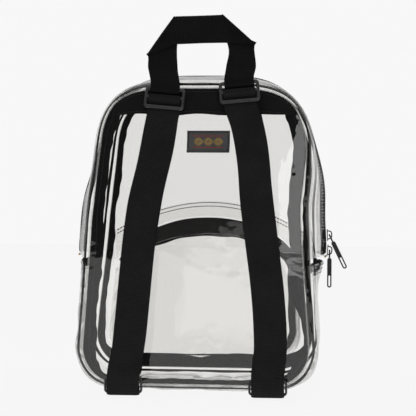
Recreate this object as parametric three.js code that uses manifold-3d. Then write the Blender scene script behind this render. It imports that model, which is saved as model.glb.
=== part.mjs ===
// Clear stadium backpack: a small see-through vinyl backpack with black webbing straps,
// seen from its back, the side that is worn.
//
// Millimetres, +Z up. The back panel faces -Y and the front pocket faces +Y. The origin is the
// centre of the base, on the surface that the bag stands on.

import * as THREE from "three";
import { mergeVertices } from "three/addons/utils/BufferGeometryUtils.js";
import Module from "manifold-3d";

const wasm = await Module();
wasm.setup();

// Body sizes
const baseHalfWidth = 109.5; // seam to centre line, low on the bag
const shoulderHalfWidth = 99.8; // the same at the shoulder height
const waistBow = 0.3; // how far the side seams bow in between those two
const baseCorner = 35; // radius of the two bottom corners
const shoulderHeight = 180; // the side seams start to close in above this
const seamTop = 292; // height of the seam at the top of the back panel
const topPower = 4.5; // how square the domed top is
const bodyDepth = 105; // back seam to front seam
const frontSpread = 3.5; // how much further out the front panel's sides are than the back one's
const lean = 6.8; // the soft bag leans this far to +X at the top
const leanHeights = { low: 160, high: 245 };
const frontTwist = 4.4; // and its front panel's top stands this much further to +X
const twistHeights = { low: 40, high: 170 };
const frontFade = { low: 200, high: 270 }; // over these, the spread and that shift fade out
const baseRoll = 6.5; // the gusset stands this far proud of the seam at the base
const sideRoll = 8.3; // and at the sides
const topRoll = 6; // and over the top
const topRise = 9; // the top rises this much more at the middle of the gusset
const cornerBulge = 7; // and the two bottom corners bulge by this much more there
const rollDepth = 10; // depth over which the gusset rolls out from the seam
const ridgeHeight = 11.3; // the zip pushes the gusset out by this much more
const ridgeHeights = { low: 85, fullLow: 140, fullHigh: 175, high: 250 };
const crown = 4; // how far each panel billows at its middle
const crownHeight = 150; // height of the middle of that billow

// Sheets, tapes and clearances
const vinyl = 1; // wall of the clear sheet
const gap = 0.3; // between pieces that are sewn together
const tapeThickness = 0.8;
const pipingRadius = 1.5;
const bindingWidth = 10;
const bindingWave = 2; // the binding's free edge waves in and out by this much
const bindingRipples = 9; // waves round the bag
const yokeDrop = 25; // from the top seam down to the lower edge of the black yoke
const yokeThickness = 1.2;
const labelWidth = 41;
const labelHeight = 21;
const labelX = 6;
const labelDrop = 51.5; // from the top seam down to its middle
const labelThickness = 0.8;

// Main zip
const zipEndHeight = 122; // both ends of the main zip, at the cross seams
const tapeHalfWidth = 14; // zip tape, from the centre line
const bareTape = 5.5; // the clear sheet stops this far from the centre line
const coilHalfWidth = 3;
const coilThickness = 1.6;
const crossSeamHeight = 8;

// Webbing and its hardware
const webbing = 31; // width of the shoulder straps
const webbingThickness = 1.2;
const handleWebbing = 28.5; // width of the haul handle as it stands
const strapTopX = 35.5; // straps, at the tri-glides
const strapBottomX = 68.3; // straps, at the rings
const strapCurve = 1.7; // how far down the straps keep close together
const ringShift = 3; // how far both lower ends stand to +X
const strapDrift = 5.5; // and how far both bow to +X between their ends
const driftShape = 0.6; // below 1, it puts the middle of that bow low on the strap
const glideLeftDrop = 10; // from the top seam down to the tri-glides' centre bars
const glideRightDrop = 4;
const glideStandOff = 9.8; // from the back seam's plane out to their middle
const glideLean = 14; // degrees that the tops of the tri-glides lean in to the bag
const glideTurn = 5; // degrees that their bars slope down to the centre line
const glideWidth = 38.5;
const glideBar = 3.5; // width of the outer bars
const glideCentreBar = 2.8;
const glideLowerSlot = 6.4;
const glideUpperSlot = 5.4;
const glideThickness = 2.8;
const slotWidth = 32.4; // inside width of the tri-glides and rings
const frontBow = 4; // how far the front run of a strap bows out
const rearBow = 1;
const ringStandOff = 26.5; // from the back seam's plane out to the rings' middle
const ringBottom = 2;
const ringBar = 3.2;
const ringSlot = 8.7;
const ringThickness = 3.2;
const ringWidth = 36.6;
const tabThickness = 1.2;
const tabTop = 32; // height of the sewn end of a ring's tab

// Haul handle
const handleRise = 70; // from the top seam up to the handle's top edge
const handleBandDrop = 28.5; // height of the band, from its top edge to its lower edge
const handleLegX = 36; // centre line of a leg where it meets the bag
const handleFoldLeftDrop = 40; // from the handle's top down to the outer corner of each fold
const handleFoldRightDrop = 30;
const handleTopLeft = -27.5; // ends of the band's top edge
const handleTopRight = 17.5;
const handleFlare = 52; // half the width between the outer corners of the folds
const handleBackLean = 18; // how far the top edge leans back over the bag
const handleLeanDrop = 62; // from its top down to where that lean starts
const handleBendDrop = 52; // and to where the legs start to splay out

// Front pocket
const pocketHalfBase = 101;
const pocketHalfTop = 97;
const pocketBase = 10;
const pocketCorner = 34;
const pocketShoulder = 105;
const pocketTop = 165;
const pocketPower = 2;
const pocketDepth = 22;
const pocketSideInset = 5; // the pocket's face is smaller than its foot by this much
const pocketTopInset = 19; // and by this much at the top
const pocketCrown = 4;
const pocketMiddle = 69.5; // height of the centre that its face's rows run in to
const pocketZipEnd = 118; // height of both ends of the pocket's zip
const pocketTapeEdge = 0.08; // share of the pocket's depth left clear beside the tape
const pocketPiping = 1.1;
const pocketBinding = 8;
const facingTop = 181; // the sewn facing above the pocket's zip: its middle
const facingEndX = 99; // and its two ends
const facingEndZ = 150;

// Zip sliders and pulls
const upperSliderZ = 148;
const lowerSliderZ = 133;
const sliderLength = 11;
const sliderWidth = 8;
const sliderThickness = 1.4;
const bridgeLength = 9;
const bridgeWidth = 2.2;
const bridgeHeight = 3.2; // clear height under the bridge
const bridgeBar = 1.2;
const pullLength = 37; // from its pivot to its tip
const pullRingWidth = 7;
const pullRingHole = 3.8;
const pullRingLength = 7; // of the hole, from the pivot
const pullPaddleWidth = 4.4;
const pullThickness = 1.5;
const pullSlotLength = 9;
const pullSlotWidth = 1.7;
const upperPullLean = 26; // degrees that the lower slider holds the upper pull out
const pocketSliderShare = 0.3; // how far along its zip the pocket's slider stands

const halfDepth = bodyDepth / 2;
const yokeBottom = seamTop - yokeDrop;
const labelZ = seamTop - labelDrop;
const glideLeftZ = seamTop - glideLeftDrop;
const glideRightZ = seamTop - glideRightDrop;
const handleTop = seamTop + handleRise;
const handleFoldLeft = handleTop - handleFoldLeftDrop;
const handleFoldRight = handleTop - handleFoldRightDrop;
const handleLeanStart = handleTop - handleLeanDrop;
const handleLegBend = handleTop - handleBendDrop;
const glideY = -halfDepth - glideStandOff;
const ringY = -halfDepth - ringStandOff;
const sectionCount = 8; // sections of an outline: v runs from 0 to this once round it
const { PI, abs, cos, hypot, max, min, sin, sqrt } = Math;
const mix = (a, b, k) => a + (b - a) * k;
const radians = THREE.MathUtils.degToRad;
const { smoothstep } = THREE.MathUtils;
const sway = (y, z) => {
  const forward = max(y + halfDepth, 0) / bodyDepth;
  const rise = smoothstep(z, twistHeights.low, twistHeights.high);
  const twist = frontTwist * rise * (1 - smoothstep(z, frontFade.low, frontFade.high));
  return lean * smoothstep(z, leanHeights.low, leanHeights.high) + twist * forward;
};
const place = (x, y, z) => new THREE.Vector3(x + sway(y, z), y, z);

// Materials
const look = (color, roughness, extra = {}) =>
  new THREE.MeshStandardMaterial({ color, roughness, metalness: 0, ...extra });
const clear = look(0xe9e9e7, 0.12, { transparent: true, opacity: 0.3 });
const blackWebbing = look(0x19181a, 0.85);
const blackTape = look(0x242326, 0.8);
const yokeCloth = look(0x232224, 0.9);
const labelCloth = look(0x2d2d30, 0.8);
const plastic = look(0x2b2b2e, 0.4);
const blackMetal = look(0x17171a, 0.35, { metalness: 0.7 });

// Solids

// A BufferGeometry from points and triangles, with its faces turned outwards.
function geometryOf(points, triangles) {
  let volume = 0;
  for (const [a, b, c] of triangles)
    volume += points[a].dot(points[b].clone().cross(points[c]));
  const faces = volume < 0 ? triangles.map(([a, b, c]) => [a, c, b]) : triangles;
  const geometry = new THREE.BufferGeometry();
  geometry.setAttribute(
    "position",
    new THREE.Float32BufferAttribute(points.flatMap((p) => p.toArray()), 3),
  );
  geometry.setIndex(faces.flat());
  return geometry;
}

// A sheet with a thickness, from two grids of points: its outer and its inner side. Rows run
// along the sheet, and wrap joins the last row to the first. Points that coincide become one.
function sheet(outer, inner, wrap = false) {
  const points = [];
  const known = new Map();
  const indexOf = (p) => {
    const key = p.toArray().map((n) => n.toFixed(5)).join();
    if (!known.has(key)) known.set(key, points.push(p) - 1);
    return known.get(key);
  };
  const sides = [outer, inner].map((rows) => rows.map((row) => row.map(indexOf)));
  const triangles = [];
  const quad = (a, b, c, d) => triangles.push([a, b, c], [a, c, d]);
  const rows = outer.length;
  const last = outer[0].length - 1;
  const [top, under] = sides;
  for (let i = 0; i < rows - (wrap ? 0 : 1); i++) {
    const n = (i + 1) % rows;
    for (let j = 0; j < last; j++) {
      quad(top[i][j], top[n][j], top[n][j + 1], top[i][j + 1]);
      quad(under[i][j], under[i][j + 1], under[n][j + 1], under[n][j]);
    }
    quad(under[i][0], under[n][0], top[n][0], top[i][0]);
    quad(top[i][last], top[n][last], under[n][last], under[i][last]);
  }
  if (!wrap)
    for (let j = 0; j < last; j++) {
      quad(top[0][j], top[0][j + 1], under[0][j + 1], under[0][j]);
      const e = rows - 1;
      quad(under[e][j], under[e][j + 1], top[e][j + 1], top[e][j]);
    }
  const whole = triangles.filter(([a, b, c]) => a !== b && b !== c && c !== a);
  return geometryOf(points, whole);
}

// A closed tube of a few sides round a loop of centres, each with two directions across it.
function loopTube(centres, radius, sides) {
  const ring = ({ at, a, b }, k) => {
    const angle = (2 * PI * k) / sides;
    return at
      .clone()
      .addScaledVector(a, radius * cos(angle))
      .addScaledVector(b, radius * sin(angle));
  };
  const points = centres.flatMap((c) => [...Array(sides).keys()].map((k) => ring(c, k)));
  const triangles = [];
  centres.forEach((_, i) => {
    for (let k = 0; k < sides; k++) {
      const n = (i + 1) % centres.length;
      const m = (k + 1) % sides;
      const [p, q, r, s] = [i * sides + k, n * sides + k, n * sides + m, i * sides + m];
      triangles.push([p, q, r], [p, r, s]);
    }
  });
  return geometryOf(points, triangles);
}

// A strip of webbing along a path of centres. across is its width direction at each of them.
function ribbon(path, across, width, thickness) {
  const side = (up) =>
    path.map((p, i) => {
      const before = path[max(i - 1, 0)];
      const after = path[min(i + 1, path.length - 1)];
      const w = across[i];
      const normal = after.clone().sub(before).cross(w).normalize();
      return [-0.5, 0.5].map((s) =>
        p.clone().addScaledVector(w, s * width).addScaledVector(normal, (up * thickness) / 2),
      );
    });
  return sheet(side(1), side(-1));
}

// manifold-3d solids, for joining and cutting
function solidOf(geometry) {
  const bare = geometry.clone();
  for (const name of Object.keys(bare.attributes)) if (name !== "position") bare.deleteAttribute(name);
  const merged = mergeVertices(bare, 1e-4);
  return new wasm.Manifold(
    new wasm.Mesh({
      numProp: 3,
      vertProperties: merged.attributes.position.array,
      triVerts: new Uint32Array(merged.index.array),
    }),
  );
}

function join(...geometries) {
  const whole = geometries.map(solidOf).reduce((a, b) => a.add(b));
  const mesh = whole.getMesh();
  const geometry = new THREE.BufferGeometry();
  geometry.setAttribute("position", new THREE.BufferAttribute(mesh.vertProperties, 3));
  geometry.setIndex(new THREE.BufferAttribute(mesh.triVerts, 1));
  return geometry;
}

// Outlines

// A closed outline in the XZ plane: a flat base, two round corners, sides that close in, and a
// domed top. v runs 0 to 1 along half the base, to 2 round the corner, to 3 up the side and to 4
// over the dome, and from 4 to 8 back down the other side. Negative v is the same mirrored.
function outline({ halfBase, halfTop, base, corner, shoulder, top, power, bow = 0 }) {
  const halfPoint = (v) => {
    if (v <= 1) return [v * (halfBase - corner), base];
    if (v <= 2) {
      const angle = ((v - 1) * PI) / 2;
      return [halfBase - corner + corner * sin(angle), base + corner * (1 - cos(angle))];
    }
    if (v <= 3) {
      const k = v - 2;
      return [mix(halfBase, halfTop, k) - bow * sin(PI * k), mix(base + corner, shoulder, k)];
    }
    const angle = ((v - 3) * PI) / 2;
    const along = max(cos(angle), 0) ** (2 / power);
    return [halfTop * along, shoulder + (top - shoulder) * sin(angle) ** (2 / power)];
  };
  const point = (v) => {
    const w = ((v % sectionCount) + sectionCount) % sectionCount;
    const mirror = w > sectionCount / 2;
    const [x, z] = halfPoint(mirror ? sectionCount - w : w);
    return new THREE.Vector2(mirror ? -x : x, z);
  };
  const normal = (v) => {
    const step = 1e-3;
    const t = point(v + step).sub(point(v - step)).normalize();
    return new THREE.Vector2(t.y, -t.x);
  };
  const sideAt = (z) => 2 + (z - base - corner) / (shoulder - base - corner);
  return { point, normal, sideAt };
}

const body = outline({
  halfBase: baseHalfWidth,
  halfTop: shoulderHalfWidth,
  base: baseRoll,
  corner: baseCorner,
  shoulder: shoulderHeight,
  top: seamTop,
  power: topPower,
  bow: waistBow,
});
const zipEnd = body.sideAt(zipEndHeight);

// The values of v at which every piece round an outline has a row of points, so that sheets
// that lie on each other bend at the same places.
function lines(counts, extra) {
  const half = counts.flatMap((n, i) => [...Array(n).keys()].map((k) => i + k / n));
  const up = [...half, sectionCount / 2, ...extra];
  const all = [...up, ...up.map((v) => sectionCount - v), ...up.map((v) => -v)];
  return [...new Set(all.map((v) => +v.toFixed(9)))].sort((a, b) => a - b);
}
const bodyLines = lines([3, 5, 6, 8], [zipEnd]);
const between = (all, from, to) => [from, ...all.filter((v) => v > from + 0.01 && v < to - 0.01), to];
const round = (all) => all.filter((v) => v >= 0 && v < sectionCount);

// How far the sides of the front outline are pushed out, as a share of its spread.
function splay(v) {
  const fade = 1 - smoothstep(body.point(v).y, frontFade.low, frontFade.high);
  return abs(body.normal(v).x) * fade;
}

// The gusset's surface. t is 0 at the back seam and 1 at the front seam.
function roll(v, z, t) {
  const edge = min(t, 1 - t) * (bodyDepth / rollDepth);
  const profile = edge >= 1 ? 1 : sqrt(1 - (1 - edge) ** 2);
  const low = smoothstep(z, baseRoll, baseRoll + baseCorner);
  const high = smoothstep(z, shoulderHeight, seamTop - topRoll);
  const proud = mix(mix(baseRoll, sideRoll, low), topRoll, high);
  const half = sectionCount / 2;
  const w = abs(((((v + half) % sectionCount) + sectionCount) % sectionCount) - half);
  const corner = sin(PI * min(max(w - 1, 0), 1)) ** 3;
  const swell = topRise * smoothstep(w, half - 0.5, half) + cornerBulge * corner;
  const { low: foot, fullLow, fullHigh, high: tip } = ridgeHeights;
  const fade = min(max((z - fullHigh) / (tip - fullHigh), 0), 1);
  const ridge = ridgeHeight * smoothstep(z, foot, fullLow) * cos((fade * PI) / 2) ** 2;
  return proud * profile + swell * sin(PI * t) + ridge * sin(PI * t) ** 3;
}

function gussetPoint(v, t, lift = 0) {
  const surface = (a, b) => {
    const { x, y: z } = body.point(a);
    const n = body.normal(a);
    const out = roll(a, z, b) + frontSpread * b * splay(a);
    return place(x + n.x * out, mix(-halfDepth, halfDepth, b), z + n.y * out);
  };
  const p = surface(v, t);
  if (!lift) return p;
  const step = 1e-4;
  const along = surface(v + step, t).sub(surface(v - step, t));
  const across = surface(v, t + step).sub(surface(v, t - step));
  return p.addScaledVector(across.cross(along).normalize(), lift);
}

// A strip of the gusset between two v and the given t, from one lift to another.
function gussetStrip(from, to, across, lift, thickness) {
  const rows = (height) =>
    between(bodyLines, from, to).map((v) => across.map((t) => gussetPoint(v, t, height)));
  return sheet(rows(lift), rows(lift - thickness));
}

// How far a panel billows out at a place.
function billow(x, z) {
  const acrossX = min(abs(x) / (baseHalfWidth - 4), 1);
  const acrossZ = min(abs(z - crownHeight) / (seamTop - crownHeight), 1);
  return crown * (1 - acrossX ** 4) * (1 - acrossZ ** 4);
}
const backFace = (x, z) => -halfDepth - billow(x, z);
const frontFace = (x, z) => halfDepth + billow(x, z);

// A panel inside a seam: rings of points from its rim to its centre.
const panelRings = [1, 0.93, 0.76, 0.42, 0];
function panel(inset, centre, face, thickness, spread = 0) {
  const rows = (shift) =>
    round(bodyLines).map((v) => {
      const reach = spread * splay(v) - inset;
      const rim = body.point(v).addScaledVector(body.normal(v), reach);
      return panelRings.map((k) => {
        const x = mix(centre.x, rim.x, k);
        const z = mix(centre.y, rim.y, k);
        return place(x, face(x, z) + shift, z);
      });
    });
  return sheet(rows(0), rows(thickness), true);
}
const bodyCentre = new THREE.Vector2(0, crownHeight);
const rimInset = pipingRadius + gap;

function backPanel() {
  return panel(rimInset, bodyCentre, backFace, vinyl);
}

function frontPanel() {
  return panel(rimInset, bodyCentre, frontFace, -vinyl, frontSpread);
}

// Piping: a clear welt along a seam.
function seamPiping(y, spread) {
  const centres = round(bodyLines).map((v) => {
    const n = body.normal(v);
    const p = body.point(v).addScaledVector(n, spread * splay(v));
    const a = new THREE.Vector3(n.x, 0, n.y);
    return { at: place(p.x, y, p.y), a, b: new THREE.Vector3(0, 1, 0) };
  });
  return loopTube(centres, pipingRadius, 5);
}

// Binding: the tape that wraps the seam allowance inside the bag, with a wavy free edge.
function seamBinding(face, inward, spread) {
  const rows = (depth) =>
    round(bodyLines).map((v) => {
      const n = body.normal(v);
      const wave = bindingWave * sin((v / 4) * PI * bindingRipples);
      return [rimInset + 1, rimInset + 1 + bindingWidth + wave].map((inset, j) => {
        const p = body.point(v).addScaledVector(n, spread * splay(v) - inset);
        const lift = vinyl + gap + 0.1 + depth + j * abs(wave);
        return place(p.x, face(p.x, p.y) + inward * lift, p.y);
      });
    });
  return sheet(rows(0), rows(tapeThickness), true);
}

// Gusset and main zip
const seamStart = 0.4 / bodyDepth; // the gusset leaves the piping flat, then rolls round
const rollAt = (angle) => (rollDepth * (1 - cos(radians(angle)))) / bodyDepth;
const fromZip = (mm) => 0.5 - mm / bodyDepth;
const backRoll = [seamStart, rollAt(35), rollAt(62), rollAt(90)];
const tapeSteps = [tapeHalfWidth, bareTape];
const mirrored = (list) => list.map((t) => 1 - t).reverse();
const seamGap = 0.002; // in v, between the upper and lower gusset

function gussetLower() {
  const toZip = [...backRoll, fromZip(tapeHalfWidth)];
  const across = [...toZip, 0.5, ...mirrored(toZip)];
  return gussetStrip(-zipEnd + seamGap, zipEnd - seamGap, across, 0, vinyl);
}

function gussetUpper(atFront) {
  const across = [...backRoll, 0.24, ...tapeSteps.map(fromZip)];
  const steps = atFront ? mirrored(across) : across;
  return gussetStrip(zipEnd + seamGap, sectionCount - zipEnd - seamGap, steps, 0, vinyl);
}

function zipTape(atFront) {
  const across = [tapeHalfWidth, bareTape, coilHalfWidth, 0.2].map(fromZip);
  const steps = atFront ? mirrored(across) : across;
  const end = zipEnd + 4 * seamGap;
  return gussetStrip(end, sectionCount - end, steps, -vinyl - gap, tapeThickness);
}

function zipCoil() {
  const steps = [coilHalfWidth, 0, -coilHalfWidth].map(fromZip);
  const end = zipEnd + 6 * seamGap;
  return gussetStrip(end, sectionCount - end, steps, -vinyl + coilThickness, coilThickness);
}

// The tape inside the cross seam at each end of the main zip.
function crossSeam(side) {
  const high = zipEnd + seamGap;
  const low = body.sideAt(zipEndHeight - crossSeamHeight);
  const across = [rollAt(90), 0.24, fromZip(tapeHalfWidth), fromZip(bareTape), 0.5];
  const steps = [...across, ...mirrored(across.slice(0, -1))];
  const [from, to] = side > 0 ? [low, high] : [-high, -low];
  return gussetStrip(from, to, steps, -vinyl - gap - tapeThickness - gap, tapeThickness);
}

// Yoke and label

function yoke() {
  const highest = body.sideAt(shoulderHeight) + 0.44;
  const columns = between(bodyLines, highest, sectionCount - highest);
  const rows = (depth) =>
    columns.map((v) => {
      const rim = body.point(v).addScaledVector(body.normal(v), -rimInset);
      return [0, 0.5, 1].map((k) => {
        const z = mix(rim.y, min(yokeBottom, rim.y - 0.5), k);
        return place(rim.x, backFace(rim.x, z) - gap - depth, z);
      });
    });
  return sheet(rows(yokeThickness), rows(0.1));
}

function label() {
  const face = (depth) =>
    [-0.5, 0, 0.5].map((i) =>
      [-0.5, 0.5].map((j) => {
        const x = labelX + i * labelWidth;
        const z = labelZ + j * labelHeight;
        return place(x, backFace(x, z) - gap - 0.15 - depth, z);
      }),
    );
  return sheet(face(labelThickness), face(0));
}

// Webbing and its hardware

// A tri-glide's own directions: along its bars, up its face, and out from the bag.
function glideFrame(side) {
  const z = side < 0 ? glideLeftZ : glideRightZ;
  const turn = radians(glideTurn) * side;
  const tip = radians(glideLean);
  const frame = new THREE.Matrix4().makeRotationX(-tip);
  frame.premultiply(new THREE.Matrix4().makeRotationY(-turn));
  frame.setPosition(place(side * strapTopX, glideY, z));
  return frame;
}

// A flat plate in the XZ plane from a shape, centred on y = 0.
function plate(shape, thickness, curveSegments = 3) {
  const geometry = new THREE.ExtrudeGeometry(shape, {
    depth: thickness,
    bevelEnabled: false,
    curveSegments,
  });
  return geometry.translate(0, 0, -thickness / 2).rotateX(PI / 2);
}

function roundedRectangle(target, x0, y0, x1, y1, r) {
  target.moveTo(x0 + r, y0);
  target.lineTo(x1 - r, y0);
  target.quadraticCurveTo(x1, y0, x1, y0 + r);
  target.lineTo(x1, y1 - r);
  target.quadraticCurveTo(x1, y1, x1 - r, y1);
  target.lineTo(x0 + r, y1);
  target.quadraticCurveTo(x0, y1, x0, y1 - r);
  target.lineTo(x0, y0 + r);
  target.quadraticCurveTo(x0, y0, x0 + r, y0);
  return target;
}

function slottedFrame(width, low, high, slots, thickness) {
  const shape = roundedRectangle(new THREE.Shape(), -width / 2, low, width / 2, high, 3);
  for (const [from, to] of slots) {
    shape.holes.push(roundedRectangle(new THREE.Path(), -slotWidth / 2, from, slotWidth / 2, to, 1));
  }
  return plate(shape, thickness);
}

const glideHalf = glideCentreBar / 2;
const glideLow = -glideHalf - glideLowerSlot - glideBar;
const glideHigh = glideHalf + glideUpperSlot + glideBar;

function triGlide() {
  const slots = [
    [glideLow + glideBar, -glideHalf],
    [glideHalf, glideHigh - glideBar],
  ];
  return slottedFrame(glideWidth, glideLow, glideHigh, slots, glideThickness);
}

function ring() {
  const high = ringBar * 2 + ringSlot;
  return slottedFrame(ringWidth, 0, high, [[ringBar, high - ringBar]], ringThickness);
}

// A strap runs from its sewn end in the tri-glide, over the centre bar, down the front to the
// ring, under the ring's lower bar, up behind itself and on to the yoke. layer is half the
// webbing and a gap, and pile is one webbing and a gap.
const layer = webbingThickness / 2 + gap;
const pile = webbingThickness + gap;
const strapX = (z, topZ) => {
  const k = min(max((z - ringBottom) / (topZ - ringBottom), 0), 1);
  return mix(strapBottomX, strapTopX, k ** strapCurve);
};
const drift = (z, topZ) => {
  const low = ringBottom + 2 * ringBar + ringSlot + 2;
  const k = min(max((z - low) / (topZ - low), 0), 1);
  return ringShift * (1 - k) + strapDrift * sin(PI * k ** driftShape);
};

function strap(side) {
  const frame = glideFrame(side);
  const along = new THREE.Vector3().setFromMatrixColumn(frame, 0);
  const flat = new THREE.Vector3(1, 0, 0);
  const topZ = side < 0 ? glideLeftZ : glideRightZ;
  const half = glideThickness / 2;
  const inGlide = (up, out) => ({
    at: new THREE.Vector3(0, -out, up).applyMatrix4(frame),
    w: along,
  });
  const tail = -half - layer - pile;
  const top = [
    inGlide(glideLow - 5, tail - 0.2),
    inGlide(-glideHalf - glideLowerSlot, tail),
    inGlide(-3, -half - layer - 0.9),
    inGlide(0, -half - layer),
    inGlide(glideHalf + layer * 0.6, -half - layer * 0.5),
    inGlide(glideHalf + layer, 0),
    inGlide(glideHalf + layer * 0.6, half + layer * 0.6),
    inGlide(-glideHalf, half + layer + 0.2),
    inGlide(-glideHalf - glideLowerSlot * 0.95, -half - layer - 0.2),
    inGlide(glideLow - 0.5, -half - layer - 0.2),
  ];
  const free = (z, y) => ({ at: place(side * strapX(z, topZ) + drift(z, topZ), y, z), w: null });
  const lowY = ringY - ringThickness / 2 - layer;
  const ringTop = ringBottom + 2 * ringBar + ringSlot;
  const frontAtRing = lowY - 2 * pile;
  const start = top.at(-1).at;
  const front = [0.08, 0.2, 0.35, 0.5, 0.65, 0.8, 0.92, 1].map((k) =>
    free(mix(start.z, ringTop, k), mix(start.y, frontAtRing, k) - frontBow * sin(PI * k)),
  );
  const behind = ringY + ringThickness / 2 + layer;
  const barHalf = ringThickness / 2;
  const underRing = [
    ...roundCorner([ringY - barHalf, ringBottom], [-1, -1], layer),
    ...roundCorner([ringY + barHalf, ringBottom], [1, -1], layer).reverse(),
    [behind, ringBottom + ringBar],
    [behind - 0.6, ringBottom + ringBar + 1.4],
    [ringY, ringBottom + ringBar + 3.2],
    [lowY - 0.3, ringBottom + ringBar + 5.2],
    [lowY - pile - 0.1, ringBottom + ringBar + 6.8],
    [lowY - pile - 0.1, ringTop + 2],
  ].map(([y, z]) => free(z, y));
  const sewnLow = yokeBottom + 1;
  const sewn = (z) => backFace(strapTopX, z) - gap - yokeThickness - layer - 0.1;
  const rearStart = underRing.at(-1).at;
  const rear = [0.12, 0.3, 0.5, 0.7, 0.88].map((k) =>
    free(mix(rearStart.z, sewnLow, k), mix(rearStart.y, sewn(sewnLow), k) - rearBow * sin(PI * k)),
  );
  const anchor = [0, 0.5, 1].map((k) => mix(sewnLow, topZ + 2, k)).map((z) => free(z, sewn(z)));
  const all = [...top, ...front, ...underRing, ...rear, ...anchor];
  const slope = all.map(({ w }, i) => {
    if (w) return w;
    const drop = all[i].at.z;
    const step = strapX(drop - 1, topZ) - strapX(drop + 1, topZ);
    return new THREE.Vector3(1, 0, (side * step) / 2).normalize();
  });
  const across = all.map(({ at, w }, i) => (w || at.z < ringTop + 1 ? (w ?? flat) : slope[i]));
  return ribbon(all.map(({ at }) => at), across, webbing, webbingThickness);
}

// The path of webbing round one corner of a bar: [y, z] of the corner, and the way it points.
function roundCorner([y, z], [sy, sz], distance) {
  const slant = distance * Math.SQRT1_2;
  return [
    [y + sy * distance, z],
    [y + sy * slant, z + sz * slant],
    [y, z + sz * distance],
  ];
}

// The tab that holds a ring: sewn to the panel at one end and looped round the upper bar.
function ringTab(side) {
  const x = side * strapBottomX + ringShift;
  const barLow = ringBottom + ringBar + ringSlot;
  const barHigh = barLow + ringBar;
  const clearance = tabThickness / 2 + gap;
  const face = backFace(x, tabTop) - clearance - 0.1;
  const [near, far] = [ringY - ringThickness / 2, ringY + ringThickness / 2];
  const path = [
    [face, tabTop],
    [face - 0.2, barHigh + 8],
    [face - 2.5, barHigh + 4.5],
    [far + 4, barHigh + clearance + 0.5],
    [far, barHigh + clearance],
    ...roundCorner([near, barHigh], [-1, 1], clearance).reverse(),
    ...roundCorner([near, barLow], [-1, -1], clearance),
    [far, barLow - clearance],
    [far + 3, barLow - clearance + 0.6],
    [face - 4, barLow + 1],
  ].map(([y, z]) => place(x, y, z));
  return ribbon(path, path.map(() => new THREE.Vector3(1, 0, 0)), webbing - 1, tabThickness);
}

// Haul handle: a band across the top whose two ends fold at an angle into the legs behind it.
// A strip is a list of pairs of edge points, each [x, z].
function handleDepth(z) {
  const k = max(z - handleLeanStart, 0) / (handleTop - handleLeanStart);
  return handleBackLean * k * k;
}

function strip(pairs, depthOf) {
  const rows = (front) =>
    pairs.map((pair) => pair.map(([x, z]) => place(x, depthOf(z) - front * webbingThickness, z)));
  return sheet(rows(1), rows(0));
}

function handle() {
  const bandY = glideY - 3.2;
  const bandLow = handleTop - handleBandDrop;
  const inner = handleLegX - handleWebbing / 2;
  const outer = handleLegX + handleWebbing / 2;
  const topOf = { [-1]: [handleTopLeft, handleTop - 1.5], [1]: [handleTopRight, handleTop] };
  const cornerOf = {
    [-1]: [-handleFlare, handleFoldLeft],
    [1]: [handleFlare - 2, handleFoldRight],
  };
  const band = strip(
    [
      [topOf[-1], cornerOf[-1]],
      [[handleTopLeft + 4, handleTop - 1.3], [-inner - 4, bandLow - 1]],
      [[0, handleTop - 0.7], [0, bandLow]],
      [[handleTopRight - 1, handleTop - 0.1], [inner, bandLow + 0.3]],
      [topOf[1], cornerOf[1]],
    ],
    (z) => bandY + handleDepth(z),
  );
  const leg = (side) => {
    const frame = glideFrame(side);
    const inGlide = (up, out) =>
      [0.5, -0.5].map((k) => {
        const x = side * (handleLegX - strapTopX + k * handleWebbing);
        return new THREE.Vector3(x, -out, up).applyMatrix4(frame);
      });
    const over = glideThickness / 2 + gap + webbingThickness + 0.05;
    const under = -glideThickness / 2 - 2 * gap - webbingThickness;
    const straight = [
      inGlide(-5, under - 1.5),
      inGlide(-2, under - 1.1),
      inGlide(glideHalf, under - 0.7),
      inGlide(glideHalf + glideUpperSlot - 0.6, over),
      inGlide(glideHigh + 0.4, over),
    ];
    const [cx, cz] = cornerOf[side];
    const [tx, tz] = topOf[side];
    const behind = (z) => bandY + gap + handleDepth(z);
    const atBend = (x) => place(side * x, behind(handleLegBend) - 0.5, handleLegBend);
    const bend = [
      [atBend(outer + 1), atBend(inner + 1)],
      [place(cx, behind(cz), cz), place(side * (inner + 2), behind(bandLow), bandLow - 1)],
      [place(cx - side * 0.4, behind(cz), cz + 0.6), place(tx, behind(tz), tz)],
    ];
    const pairs = [...straight, ...bend];
    const thick = new THREE.Vector3(0, webbingThickness, 0);
    return sheet(pairs, pairs.map((pair) => pair.map((p) => p.clone().add(thick))));
  };
  const fold = (side) => {
    const [cx, cz] = cornerOf[side];
    const [tx, tz] = topOf[side];
    const span = hypot(tx - cx, tz - cz);
    const [ux, uz] = [(tx - cx) / span, (tz - cz) / span];
    const [nx, nz] = [-uz * side, ux * side];
    const wide = 1.2;
    const depth = 2 * webbingThickness + gap;
    const rows = (back) =>
      [0.02, 0.5, 0.98].map((k) => {
        const [x, z] = [mix(cx, tx, k), mix(cz, tz, k)];
        const y = bandY + handleDepth(z) - webbingThickness + back * depth;
        return [0, 1].map((s) => place(x + nx * wide * s, y, z + nz * wide * s));
      });
    return sheet(rows(0), rows(1));
  };
  return join(band, leg(-1), leg(1), fold(-1), fold(1));
}

// Front pocket
const pocket = outline({
  halfBase: pocketHalfBase,
  halfTop: pocketHalfTop,
  base: pocketBase,
  corner: pocketCorner,
  shoulder: pocketShoulder,
  top: pocketTop,
  power: pocketPower,
});
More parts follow.
